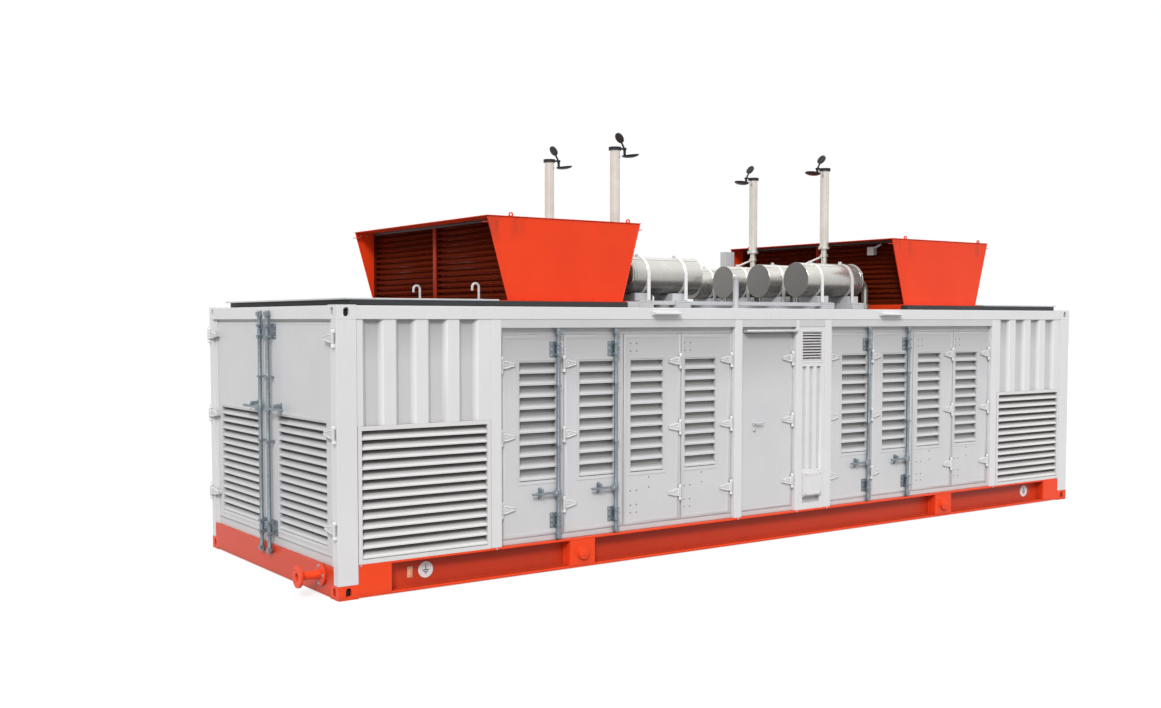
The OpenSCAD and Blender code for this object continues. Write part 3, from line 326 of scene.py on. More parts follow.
hoodLook = {"shift": 0.02, "centre": 2.658, "footHalf": 0.64, "topHalf": 0.85, "sideY": 1.34,
            "footZ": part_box("hood_louvres")[0][2], "topZ": 3.1993, "smudge": 0.55, "eyeReach": (0.42, 0.66),
            "smudgeDrop": (0.27, 0.05)}


def smudgeMask(tree):
    # darker patches under the top edge of a hood, by its lifting eyes
    x, y, z = placeParts(tree)
    fromMiddle = mathNode(tree, "ABSOLUTE", mathNode(tree, "SUBTRACT", x, hoodLook["shift"]))
    fromHood = mathNode(tree, "ABSOLUTE", mathNode(tree, "SUBTRACT", fromMiddle, hoodLook["centre"]))
    nearEyes = mapRange(tree, fromHood, *hoodLook["eyeReach"], 0.10, 1.0)
    low, high = [hoodLook["topZ"] - drop for drop in hoodLook["smudgeDrop"]]
    patches = mapRange(tree, noiseValue(tree, 7.0, 4.0, (1.0, 1.0, 0.55), 0.6), 0.50, 0.66)
    return multiplied(tree, nearEyes, mapRange(tree, z, low, high), patches, hoodLook["smudge"])


louvreShadeLook = {"sideFace": 1.45, "endFace": 4.975, "bladeFace": 1.498, "endFrom": 4.7, "start": 0.005,
               "bladeStart": 0.009, "reach": 0.038, "share": 0.80, "back": 0.0447, "shadeLow": 1.55,
               "shadeHigh": 2.16, "headShade": 0.42}


def louvreMask(tree):
    # painted shade between louvre blades, and painted shade under the header over the doors
    look = louvreShadeLook
    x, y, z = placeParts(tree)
    atEnd = mathNode(tree, "GREATER_THAN", mathNode(tree, "ABSOLUTE", x), look["endFrom"])
    depths = []
    for axis, face in [(y, look["sideFace"]), (x, look["endFace"])]:
        deep = depthBehind(tree, axis, face, look["start"], look["reach"])
        # the back of a leaf gets no painted shade
        clean = depthBehind(tree, axis, face, look["back"], look["back"] - 0.001)
        depths.append(multiplied(tree, deep, clean))
    side = multiplied(tree, depths[0], look["share"])
    underHead = mapRange(tree, z, look["shadeLow"], look["shadeHigh"], 0.0, look["headShade"])
    side = mathNode(tree, "MAXIMUM", side, underHead)
    onEnd = multiplied(tree, atEnd, multiplied(tree, depths[1], look["share"]))
    onSide = multiplied(tree, mathNode(tree, "SUBTRACT", 1.0, atEnd), side)
    return mathNode(tree, "ADD", onEnd, onSide)


def bladeMask(tree):
    # painted shade that deepens behind the face of the side louvres, the grille and the baffles
    x, y, z = placeParts(tree)
    deep = depthBehind(tree, y, louvreShadeLook["bladeFace"], louvreShadeLook["bladeStart"], louvreShadeLook["reach"])
    return multiplied(tree, deep, louvreShadeLook["share"])


troughShadeLook = {"crest": -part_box("corrugated_panels")[0][1], "depth": (0.006, 0.036), "railZ": 2.282,
              "below": 0.35, "low": 0.42, "high": 0.85}


def troughMask(tree):
    # painted shade in the troughs of the corrugated sheet, heavier under the top rail
    x, y, z = placeParts(tree)
    deep = depthBehind(tree, y, troughShadeLook["crest"], *troughShadeLook["depth"])
    high = mapRange(tree, z, troughShadeLook["railZ"] - troughShadeLook["below"], troughShadeLook["railZ"],
                    troughShadeLook["low"], troughShadeLook["high"])
    return multiplied(tree, deep, high)


# finishes: the usual values of each kind, then what differs in each finish

whitePaint = {
    "colour": (0.735, 0.725, 0.730), "shade": (0.70, 0.693, 0.703), "roughness": 0.38, "gloss": 0.4,
    "peelScale": 420.0, "peel": 0.08, "toneScale": 1.1, "waviness": 0.05,
    "streakScale": 30.0, "streaks": 0.10, "grime": 0.34, "grimeReach": 0.035,
    "grimeColour": (0.30, 0.29, 0.28), "dust": 0.10, "dustColour": (0.56, 0.53, 0.49), "splashHeight": 0.42,
    "edges": 0.35, "edgeRadius": 0.003, "edgeColour": (0.82, 0.81, 0.81),
}
whiteFinishes = {
    "shellPaint": {},
    # the leaves: white paint made darker as painted shade for their recess, plus painted shade between blades
    # and under the header
    "leafPaint": {"colour": (0.632, 0.630, 0.638), "shade": (0.588, 0.588, 0.60), "toneScale": 1.7,
                  "streakScale": 36.0, "extraMask": louvreMask, "extraColour": (0.20, 0.195, 0.195)},
    # white paint with painted shade in the troughs of the corrugated sheet
    "panelPaint": {"grimeReach": 0.06, "grime": 0.5, "extraMask": troughMask,
                   "extraColour": (0.36, 0.355, 0.36)},
    "ventPaint": {"colour": (0.56, 0.565, 0.575), "shade": (0.48, 0.485, 0.50), "splashHeight": 0.01},
    # blade paint with painted shade deepening between the blades and on the baffles
    "bladePaint": {"colour": (0.73, 0.715, 0.71), "shade": (0.67, 0.655, 0.655), "grime": 0.55,
                   "grimeReach": 0.05,
                   "grimeColour": (0.18, 0.165, 0.15), "waviness": 0.02, "extraMask": bladeMask,
                   "extraColour": (0.20, 0.195, 0.19)},
    "hingePaint": {"colour": (0.84, 0.83, 0.83), "shade": (0.80, 0.79, 0.795), "grimeReach": 0.016,
                   "grime": 0.7},
    "sillPaint": {"colour": (0.62, 0.62, 0.625), "shade": (0.56, 0.56, 0.57), "dust": 0.25},
    "roofPlate": {"colour": (0.56, 0.57, 0.58), "shade": (0.50, 0.51, 0.52), "dust": 0.2,
                  "splashHeight": 0.01},
    "roofSheet": {"colour": (0.20, 0.205, 0.215), "shade": (0.15, 0.155, 0.165), "dust": 0.35,
                  "dustColour": (0.30, 0.29, 0.275), "splashHeight": 0.01, "roughness": 0.6},
    "feetPaint": {"colour": (0.60, 0.605, 0.62), "shade": (0.53, 0.535, 0.555), "dust": 0.12,
                  "splashHeight": 0.01},
    "floorPaint": {"colour": (0.10, 0.105, 0.11), "shade": (0.07, 0.075, 0.08), "roughness": 0.6,
                   "dust": 0.3},
}
redPaint = {
    "colour": (0.88, 0.066, 0.012), "shade": (0.83, 0.055, 0.010), "roughness": 0.40, "gloss": 0.28,
    "peelScale": 420.0, "peel": 0.08, "toneScale": 1.6, "waviness": 0.04,
    "streakScale": 34.0, "streaks": 0.10, "grime": 0.55, "grimeReach": 0.07,
    "grimeColour": (0.20, 0.018, 0.006), "dust": 0.10, "dustColour": (0.62, 0.16, 0.08), "splashHeight": 0.10,
    "edges": 0.45, "edgeRadius": 0.004, "edgeColour": (0.95, 0.13, 0.04),
}
redFinishes = {
    "basePaint": {},
    # red paint with painted shade on the recessed web of the side beams
    "channelPaint": {"extraMask": channelMask, "extraColour": (0.27, 0.022, 0.008)},
    "hoodPaint": {"colour": (0.84, 0.052, 0.007), "shade": (0.78, 0.043, 0.006), "splashHeight": 0.01,
                  "streaks": 0.05, "streakScale": 14.0, "dust": 0.05, "grime": 0.3,
                  "extraMask": smudgeMask, "extraColour": (0.22, 0.035, 0.02)},
    # the hood's red made dark: painted shade for the inside of the hoods and the jamb folds
    "hoodInner": {"colour": (0.100, 0.0100, 0.0012), "shade": (0.080, 0.0080, 0.0010), "splashHeight": 0.01,
                  "gloss": 0.05, "grime": 0.45, "grimeReach": 0.04, "grimeColour": (0.045, 0.004, 0.001),
                  "roughness": 0.7, "edges": 0.1, "edgeColour": (0.11, 0.010, 0.002), "dust": 0.0},
    # the hood's red made darker: painted shade for the post covers and the sheets behind the hood louvres
    "hoodBar": {"colour": (0.36, 0.026, 0.005), "shade": (0.30, 0.021, 0.004), "splashHeight": 0.01,
                "gloss": 0.1, "dust": 0.0},
    "tagPaint": {"colour": (0.86, 0.43, 0.27), "shade": (0.78, 0.36, 0.22), "splashHeight": 0.01},
    # black paint, also used as painted shade inside the corner castings
    "blackIron": {"colour": (0.020, 0.021, 0.023), "shade": (0.012, 0.013, 0.015), "roughness": 0.46,
                  "splashHeight": 0.01, "dustColour": (0.06, 0.06, 0.06), "edges": 0.5,
                  "edgeColour": (0.07, 0.07, 0.075), "grimeColour": (0.01, 0.01, 0.01)},
    "roofSeal": {"colour": (0.040, 0.043, 0.047), "shade": (0.028, 0.031, 0.035), "roughness": 0.55,
                 "splashHeight": 0.01, "dust": 0.3, "dustColour": (0.12, 0.12, 0.12), "edges": 0.3,
                 "edgeColour": (0.12, 0.125, 0.13), "grimeColour": (0.02, 0.02, 0.02)},
    "rubber": {"colour": (0.03, 0.03, 0.032), "shade": (0.02, 0.02, 0.022), "roughness": 0.7, "edges": 0.1,
               "edgeColour": (0.08, 0.08, 0.08), "grimeColour": (0.01, 0.01, 0.01),
               "dustColour": (0.2, 0.19, 0.18)},
}
bareSteel = {
    "metallic": 0.70, "colour": (0.27, 0.315, 0.345), "shade": (0.19, 0.225, 0.25), "roughness": 0.42,
    "roughSpread": 0.10, "brushScale": 160.0, "brushStretch": (1.0, 1.0, 0.3), "brushBump": 0.10,
    "cloudScale": 38.0, "grime": 0.6, "grimeReach": 0.02, "grimeColour": (0.10, 0.105, 0.11),
    "edges": 0.5, "edgeRadius": 0.002, "edgeColour": (0.62, 0.66, 0.69),
}
steelFinishes = {
    "zincCoat": {},
    "boltZinc": {"colour": (0.45, 0.47, 0.49), "shade": (0.34, 0.36, 0.38), "roughness": 0.34,
                 "cloudScale": 90.0},
    "slateBar": {"metallic": 0.1, "colour": (0.055, 0.06, 0.07), "shade": (0.035, 0.04, 0.048),
                 "roughness": 0.6, "edges": 0.1},
    # the silencers and the stacks below carry painted shade on their undersides
    "drumSteel": {"metallic": 0.75, "colour": (0.74, 0.725, 0.68), "shade": (0.62, 0.605, 0.565),
                  "roughness": 0.23, "roughSpread": 0.05, "brushScale": 60.0,
                  "brushStretch": (6.0, 0.35, 0.35),
                  "brushBump": 0.05, "cloudScale": 2.4, "underside": 0.80, "sootColour": (0.10, 0.096, 0.088),
                  "grime": 0.4, "grimeReach": 0.06, "grimeColour": (0.10, 0.09, 0.08),
                  "endFace": (0.29, 0.283, 0.27)},
    "pipeSteel": {"metallic": 0.55, "colour": (0.80, 0.765, 0.70), "shade": (0.68, 0.645, 0.585),
                  "roughness": 0.20, "roughSpread": 0.05, "brushScale": 120.0,
                  "brushStretch": (1.0, 1.0, 0.2),
                  "cloudScale": 4.0, "underside": 0.3, "sootColour": (0.13, 0.122, 0.11), "grimeReach": 0.01,
                  "edges": 0.04},
    "strapSteel": {"metallic": 0.5, "colour": (0.88, 0.88, 0.87), "shade": (0.83, 0.83, 0.82),
                   "roughness": 0.30, "cloudScale": 12.0, "grimeReach": 0.008, "grime": 0.3},
}
# the gaps between the wires are painted dark: painted shade for the room behind the louvres
insectWire = {"wirePitch": 0.008, "wireColour": (0.13, 0.125, 0.12), "gapColour": (0.018, 0.016, 0.015)}

finishes = {"insectMesh": meshFinish("insectMesh", insectWire)}
families = [(paintFinish, whitePaint, whiteFinishes), (paintFinish, redPaint, redFinishes),
            (metalFinish, bareSteel, steelFinishes)]
for makeFinish, usual, variants in families:
    for finishName, changes in variants.items():
        finishes[finishName] = makeFinish(finishName, {**usual, **changes})
print("finishes:", len(finishes))


# which CAD node wears what, with a soft edge on each one not listed as plain

bayLeaves = [bay + str(number) for bay in "ab" for number in (1, 2, 3, 4)]
leafNodes = ["end_door_near", "end_door_far", "rear_doors", "right_end_doors"]
leafNodes += ["door_" + leaf for leaf in bayLeaves]
nodeFinish = {
    "shellPaint": ["top_castings", "corner_posts", "top_rails", "side_posts", "door_mullions",
                   "rail_steps", "cable_box", "rear_middle_panel"],
    "panelPaint": ["corrugated_panels", "middle_column"],
    "ventPaint": ["roof_vents"],
    "hingePaint": ["hinge_lugs", "rear_hinge_lugs"],
    "sillPaint": ["side_headers"],
    "bladePaint": ["side_louvres", "vent_grille"],
    "leafPaint": ["personnel_door"] + leafNodes,
    "basePaint": ["cross_members", "lifting_blocks", "bottom_castings", "gas_inlet"],
    "channelPaint": ["base_beams"],
    "floorPaint": ["floor_plate"],
    "roofSheet": ["roof_panel"],
    "roofSeal": ["roof_edge_strips"],
    "roofPlate": ["roof_cover_plates"],
    "feetPaint": ["silencer_feet"],
    "zincCoat": ["end_rod_near", "end_rod_far", "right_end_rods", "rear_rods"]
                + ["lock_rod_" + leaf for leaf in bayLeaves if leaf[1] in "12"],
    "hoodPaint": ["roof_hoods"],
    "hoodInner": ["hood_louvres"],
    "drumSteel": ["silencers"],
    "strapSteel": ["silencer_straps"],
    "pipeSteel": ["exhaust_stacks"],
    "blackIron": ["rain_caps"],
}
edgeRounding = {
    "width": {"bottom_castings": 0.006, "top_castings": 0.006, "base_beams": 0.004, "lifting_blocks": 0.004,
              "top_rails": 0.004, "corner_posts": 0.003, "side_posts": 0.003, "cable_box": 0.004,
              "middle_column": 0.002, "roof_cover_plates": 0.002},
    "usual": 0.0012,
    "plain": ["rail_steps", "silencers", "exhaust_stacks", "silencer_straps", "floor_plate", "cross_members",
              "side_louvres", "vent_grille", "hood_louvres", "rain_caps"] + leafNodes,
    "segments": 2, "sharpFrom": 35, "weld": 0.00002,
}


def roundEdges(target, width, look):
    weld = target.modifiers.new("weldSeams", "WELD")
    weld.merge_threshold = look["weld"]
    bevel = target.modifiers.new("softEdges", "BEVEL")
    bevel.width = width
    bevel.segments = look["segments"]
    bevel.limit_method = "ANGLE"
    bevel.angle_limit = math.radians(look["sharpFrom"])
    bevel.harden_normals = False
    bevel.use_clamp_overlap = True


for finishName, members in nodeFinish.items():
    for nodeName in members:
        target = nodes[nodeName]
        target.data.materials.clear()
        target.data.materials.append(finishes[finishName])
        if nodeName not in edgeRounding["plain"]:
            roundEdges(target, edgeRounding["width"].get(nodeName, edgeRounding["usual"]), edgeRounding)
dressed = {nodeName for members in nodeFinish.values() for nodeName in members}
print("dressed nodes:", len(dressed), "left bare:", sorted(set(nodes) - dressed))


# small pieces: one mesh for each body and finish, built from shapes in a seat's own x, y and outward z

def makeSeat(origin, along, out):
    # a frame on a face: x along it, y up, z out of it
    along, out = Vector(along).normalized(), Vector(out).normalized()
    across = Vector((0.0, 0.0, 1.0)) if abs(out.z) < 0.5 else out.cross(along)
    seat = Matrix.Identity(4)
    for column, axis in enumerate([along, across, out]):
        for row in range(3):
            seat[row][column] = axis[row]
    seat.translation = Vector(origin)
    return seat


def sideSeat(x, y, out, along=1, z=0.0):
    return makeSeat((x, y, z), (along, 0, 0), (0, out, 0))


def endSeat(x, y, out, along=1, z=0.0):
    return makeSeat((x, y, z), (0, along, 0), (out, 0, 0))


def topSeat(x, y, z):
    return makeSeat((x, y, z), (1, 0, 0), (0, 0, 1))


def onCircle(x, y, radius, turn):
    return x + radius * math.cos(turn), y + radius * math.sin(turn)


def circle(x, y, z, radius, count, turn=0.0):
    return [(*onCircle(x, y, radius, turn + 2 * math.pi * index / count), z) for index in range(count)]


def foldProfile(width, rise, ease=0.001, drop=0.001, start=0.0):
    # the (inset, height) outline of a flat raised band with eased edges
    return [(start, -0.001), (start, rise - drop), (start + ease, rise), (start + width - ease, rise),
            (start + width, rise - drop), (start + width, -0.001)]


class DetailMesh:
    def __init__(self):
        self.points = []
        self.faces = []

    def skin(self, seat, rings, ends="cap"):
        start, count = len(self.points), len(rings[0])
        for ring in rings:
            self.points.extend(seat @ Vector(point) for point in ring)
        for level in range(len(rings) - (0 if ends == "join" else 1)):
            here, after = start + level * count, start + (level + 1) % len(rings) * count
            for index in range(count):
                nextIndex = (index + 1) % count
                self.faces.append((here + index, here + nextIndex, after + nextIndex, after + index))
        if ends == "cap":
            last = start + (len(rings) - 1) * count
            self.faces.append(tuple(range(start + count - 1, start - 1, -1)))
            self.faces.append(tuple(range(last, last + count)))

    def slab(self, seat, x0, x1, y0, y1, z0, z1, chamfer=0.0008):
        # a plate with its upright corners and outer edge eased
        def ring(inset, z):
            a, b, c, d = x0 + inset, x1 - inset, y0 + inset, y1 - inset
            k = chamfer
            return [(a + k, c, z), (b - k, c, z), (b, c + k, z), (b, d - k, z),
                    (b - k, d, z), (a + k, d, z), (a, d - k, z), (a, c + k, z)]
        self.skin(seat, [ring(0.0, z0), ring(0.0, z1 - chamfer), ring(chamfer, z1)])

    def rim(self, seat, x0, x1, y0, y1, profile):
        # a frame round a rectangle; the profile is (inset, height) from its outer edge
        rings = []
        for inset, height in profile:
            a, b, c, d = x0 + inset, x1 - inset, y0 + inset, y1 - inset
            rings.append([(a, c, height), (b, c, height), (b, d, height), (a, d, height)])
        self.skin(seat, rings, "join")

    def turned(self, seat, x, y, profile, count=16):
        # a turned shape standing on the face, from (radius, height) pairs
        self.skin(seat, [circle(x, y, height, radius, count) for radius, height in profile])

    def hexBolt(self, seat, x, y, z, size):
        washer = [(1.15, 0.0), (1.15, 0.14), (1.05, 0.20)]
        head = [(1.0, 0.18), (1.0, 0.66), (0.86, 0.80)]
        self.turned(seat, x, y, [(size * wide, z + size * high) for wide, high in washer], 14)
        self.skin(seat, [circle(x, y, z + size * high, size * wide, 6, 0.3) for wide, high in head])

    def rivet(self, seat, x, y, z, size):
        dome = [(1.0, 0.0), (0.92, 0.28), (0.62, 0.50), (0.22, 0.58)]
        self.turned(seat, x, y, [(size * wide, z + size * high) for wide, high in dome], 10)

    def tube(self, seat, path, radius, count=8, ends="cap"):
        path = [Vector(point) for point in path]
        spokes = circle(0, 0, 0, 1, count)
        rings, side = [], None
        for index, point in enumerate(path):
            before = path[index - 1] if index > 0 or ends == "join" else point
            after = path[(index + 1) % len(path)] if index < len(path) - 1 or ends == "join" else point
            run = (after - before).normalized()
            if side is None:
                side = run.orthogonal().normalized()
            side = (side - run * side.dot(run)).normalized()
            other = run.cross(side)
            rings.append([point + radius * (across * side + up * other) for across, up, _ in spokes])
        self.skin(seat, rings, ends)

    def hoop(self, seat, x, y, z, radius, thickness, count=32, sides=6):
        # a round bead lying on the face
        self.tube(seat, circle(x, y, z, radius, count), thickness, sides, "join")

    def bar(self, seat, outline, x0, x1):
        # an outline in (y, z) drawn out along x
        self.skin(seat, [[(x, y, z) for y, z in outline] for x in (x0, x1)])


details = {}


def detail(body, finish):
    return details.setdefault((body, finish), DetailMesh())


def boltRing(seat, radius, count, size, turn=0.0):
    for x, y, z in circle(0, 0, 0.0, radius, count, turn):
        detail("shell", "boltZinc").hexBolt(seat, x, y, z, size)


def wireSheet(body, seat, x0, x1, y0, y1, depth, thickness=0.0008):
    detail(body, "insectMesh").slab(seat, x0, x1, y0, y1, -depth, -depth + thickness, 0.0002)


def emitDetails(sharpFrom=38):
    made = 0
    for (body, finish), shape in details.items():
        mesh = bpy.data.meshes.new(body + "_" + finish)
        mesh.from_pydata([tuple(point) for point in shape.points], [], shape.faces)
        work = bmesh.new()
        work.from_mesh(mesh)
        bmesh.ops.recalc_face_normals(work, faces=work.faces)
        work.to_mesh(mesh)
        work.free()
        mesh.polygons.foreach_set("use_smooth", [True] * len(mesh.polygons))
        mesh.set_sharp_from_angle(angle=math.radians(sharpFrom))
        mesh.materials.append(finishes[finish])
        piece = bpy.data.objects.new(body + "_" + finish, mesh)
        bpy.context.scene.collection.objects.link(piece)
        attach(piece, body)
        made += sum(len(face) - 2 for face in shape.faces)
    print("detail pieces:", len(details), "triangles:", made)


# louvred leaves: rims, baffles, insect mesh with painted shade in its gaps, hems, gaskets and hinge ribs

louvreLook = {"rimWidth": 0.018, "rimRise": 0.003, "overlap": 0.010, "frameBar": 0.022, "baffleDepth": 0.0395,
              "meshDepth": 0.0445, "meshLap": 0.004, "wire": 0.0006, "bladeShift": 0.06, "bladeLap": 0.001,
              "rivets": 4, "rivetRadius": 0.0042}
baffleFold = [(0.0535, 0.0), (0.0985, -0.0032), (0.0985, -0.0046), (0.0530, -0.0016)]
hemLook = {"inset": 0.003, "rise": 0.0014, "ease": 0.0008, "sealInset": 0.012,
           "seal": [(0.0, -0.0445), (0.0, -0.0480), (0.004, -0.0502), (0.010, -0.0502), (0.014, -0.0480),
                    (0.014, -0.0445)]}
hingeLook = {"start": 0.014, "ribs": [(0.36, 0.029), (0.62, 0.019), (0.93, 0.009)], "ribRadius": 0.0045,
             "knuckleX": (0.013, 0.024), "knuckleHalf": 0.040, "knuckleBack": 0.006, "knuckleRise": 0.007,
             "knuckleEase": 0.002, "boltAt": (0.30, 0.62), "boltSize": 0.0062}
bayLeaf = {
    "faceIn": 0.016, "low": 0.332, "high": 2.143, "start": 0.008, "outerReach": 0.641, "innerReach": 0.682,
    "louvreIn": [0.172, 0.158, 0.182, 0.178], "louvreWidth": 0.44, "louvreLow": 0.81, "louvreHigh": 1.918,
    "slats": 10, "baffles": True, "hinges": [0.597, 1.239, 1.881], "strap": 0.14, "strapFace": 0.012,
    "foldIn": 0.037,
}
endLeaf = {
    "faceIn": 0.045, "low": 0.332, "high": 2.258, "start": 0.137, "reach": 1.465,
    "louvreIn": 0.2105, "louvreWidth": 1.075, "louvreLow": 0.39, "louvreHigh": 1.45, "slats": 14,
    "baffles": False, "hinges": [0.575, 1.352, 2.129], "strap": 0.20, "strapFace": 0.043, "foldIn": 0.018,
}
entryLeaf = {**bayLeaf, "reach": 0.72, "foldIn": 0.022}


def dressLouvre(body, seat, x0, leaf):
    look = louvreLook
    x1, low, high = x0 + leaf["louvreWidth"], leaf["louvreLow"], leaf["louvreHigh"]
    bar, lap, over = look["frameBar"], look["frameBar"] - look["meshLap"], look["overlap"]
    detail(body, "leafPaint").rim(seat, x0 - over, x1 + over, low - over, high + over,
                                  foldProfile(look["rimWidth"], look["rimRise"]))
    wireSheet(body, seat, x0 + lap, x1 - lap, low + lap, high - lap, look["meshDepth"], look["wire"])
    # the baffles wear the blade finish, whose painted shade makes them dark
    if leaf["baffles"]:
        end = bar - look["bladeLap"]
        pitch = (high - low + look["bladeLap"] - 2 * bar) / leaf["slats"]
        for index in range(leaf["slats"]):
            foot = low + bar + pitch * (index + look["bladeShift"])
            outline = [(foot + up, out - look["baffleDepth"]) for up, out in baffleFold]
            detail(body, "bladePaint").bar(seat, outline, x0 + end, x1 - end)
    for x in (x0 - 0.001, x1 + 0.001):
        for step in range(look["rivets"]):
            y = low + (high - low) * (step + 0.5) / look["rivets"]
            detail(body, "leafPaint").rivet(seat, x, y, look["rimRise"], look["rivetRadius"])


def dressLeafEdges(body, seat, leaf, reach):
    # a pressed fold on the face and a rubber seal on the back
    start, low, high, fold = leaf["start"], leaf["low"], leaf["high"], leaf["foldIn"]
    inset, rise, ease = hemLook["inset"], hemLook["rise"], hemLook["ease"]
    profile = [(0.0, -0.0005), (0.0, 0.0008), (ease, rise), (fold - 0.002, rise), (fold, 0.0),
               (fold, -0.0005)]
    detail(body, "leafPaint").rim(seat, start + inset, reach - inset, low + inset, high - inset, profile)
    inset = hemLook["sealInset"]
    detail(body, "rubber").rim(seat, start + inset, reach - inset, low + inset, high - inset, hemLook["seal"])


def dressHinges(body, seat, leaf):
    look, length, face = hingeLook, leaf["strap"], leaf["strapFace"]
    ribs = detail(body, "hingePaint")
    half = look["knuckleHalf"]
    for y in leaf["hinges"]:
        for side in (-1, 1):
            path = [(look["start"], y + side * look["ribs"][0][1], face)]
            path += [(length * along, y + side * out, face) for along, out in look["ribs"]]
            ribs.tube(seat, path, look["ribRadius"])
        ribs.slab(seat, *look["knuckleX"], y - half, y + half, face - look["knuckleBack"],
                  face + look["knuckleRise"], look["knuckleEase"])
        for along in look["boltAt"]:
            ribs.hexBolt(seat, length * along, y, face, look["boltSize"])


def dressBayLeaf(body, x, y, out, toRight, number):
    seat = sideSeat(x, y - out * bayLeaf["faceIn"], out, toRight)
    dressLouvre(body, seat, bayLeaf["louvreIn"][number], bayLeaf)
    dressLeafEdges(body, seat, bayLeaf, bayLeaf["outerReach" if number in (0, 3) else "innerReach"])
    dressHinges(body, seat, bayLeaf)


def dressEndLeaf(body, x, y, out, toMiddle):
    seat = endSeat(x - out * endLeaf["faceIn"], y, out, toMiddle)
    dressLouvre(body, seat, endLeaf["louvreIn"], endLeaf)
    dressLeafEdges(body, seat, endLeaf, endLeaf["reach"])
    dressHinges(body, seat, endLeaf)


# each leaf that swings has a fixed twin on the far side of the container
hingeAt = {joint["child"]: joint["pos_m"] for joint in frame["joints"]}
leafNames = [("bay_door_" + leaf, int(leaf[1]) - 1) for leaf in bayLeaves]
endLeaves = [("end_leaf_near", 1), ("end_leaf_far", -1)]
for body, number in leafNames:
    x, y, z = hingeAt[body]
    toRight = 1 if number < 2 else -1
    dressBayLeaf(body, x, y, -1, toRight, number)
    dressBayLeaf("shell", x, -y, 1, toRight, number)
for body, toMiddle in endLeaves:
    x, y, z = hingeAt[body]
    dressEndLeaf(body, x, y, -1, toMiddle)
    dressEndLeaf("shell", -x, y, 1, toMiddle)
print("leaves dressed:", 2 * len(leafNames) + 2 * len(endLeaves))


# personnel door

entryLook = {"latchAt": 0.53, "latchHeight": 1.225, "keyDrop": 0.075, "rivetOut": 0.022,
             "barrel": [(0.017, -0.001), (0.017, 0.006), (0.014, 0.009), (0.009, 0.009), (0.009, 0.012),
                        (0.006, 0.013)]}
x, y, z = hingeAt["entry_door"]
seat = sideSeat(x, y + entryLeaf["faceIn"], -1, -1)
dressLeafEdges("entry_door", seat, entryLeaf, entryLeaf["reach"])
dressHinges("entry_door", seat, entryLeaf)
lock = detail("entry_door", "boltZinc")
lock.turned(seat, entryLook["latchAt"], entryLook["latchHeight"] - entryLook["keyDrop"], entryLook["barrel"],
            20)
for side in (-1, 1):
    lock.rivet(seat, entryLook["latchAt"] + side * entryLook["rivetOut"], entryLook["latchHeight"], 0.0115,
               0.004)


# seals that close the gaps round the leaves, and plugs in the spare lock holes

sealLook = {"front": 1.444, "deep": -0.032, "low": 0.3215, "sillTop": 0.3305, "leafTop": 2.1445,
            "high": 2.1535, "upright": [(0.695, 0.7205), (1.3585, 1.3885), (2.7495, 2.7795), (3.4185, 3.443)],
            "entryUpright": [(0.1405, 0.166), (-0.592, -0.5765)], "entryReach": (-0.592, 0.166),
            "bayReach": [(-3.443, -0.695), (0.695, 3.443)],
            "endFront": 4.969, "endDeep": -0.03, "endTop": 2.2595, "endHigh": 2.2685, "endHalf": 1.332}
seals = detail("shell", "sillPaint")
for out in (-1, 1):
    seat = sideSeat(0, out * sealLook["front"], out)
    spans = [tuple(sorted((side * a, side * b))) for side in (-1, 1) for a, b in sealLook["upright"]]
    reaches = list(sealLook["bayReach"])
    if out < 0:
        spans += sealLook["entryUpright"]
        reaches.append(sealLook["entryReach"])
    for a, b in spans:
        seals.slab(seat, a, b, sealLook["low"], sealLook["high"], sealLook["deep"], 0.0, 0.002)
    for a, b in reaches:
        seals.slab(seat, a, b, sealLook["leafTop"], sealLook["high"], sealLook["deep"], 0.0, 0.001)
        seals.slab(seat, a, b, sealLook["low"], sealLook["sillTop"], sealLook["deep"], 0.0, 0.001)
for out in (-1, 1):
    seat = endSeat(out * sealLook["endFront"], 0, out)
    half = sealLook["endHalf"]
    for low, high in [(sealLook["endTop"], sealLook["endHigh"]), (sealLook["low"], sealLook["sillTop"])]:
        seals.slab(seat, -half, half, low, high, sealLook["endDeep"], 0.0, 0.001)

spareLook = {"at": 0.566, "half": 0.036, "rows": [2.056, 1.983, 0.656, 0.518, 0.446], "catch": [0.676, 0.773],
             "catchBack": 0.186, "radius": 0.0062}
for body, number in leafNames:
    if number < 2:
        continue
    x, y, z = hingeAt[body]
    seat = sideSeat(x, y + bayLeaf["faceIn"], -1, -1)
    at, half, radius = spareLook["at"], spareLook["half"], spareLook["radius"]
    spots = [(at + side * half, height) for height in spareLook["rows"] for side in (-1, 1)]
    spots += [(at - spareLook["catchBack"], height) for height in spareLook["catch"]]
    for along, height in spots:
        detail(body, "rubber").turned(seat, along, height, [(radius, 0.0005), (radius, 0.0016),
                                                            (radius * 0.7, 0.0024)], 12)


# lock rods: bolts, collars, hub and catch pins

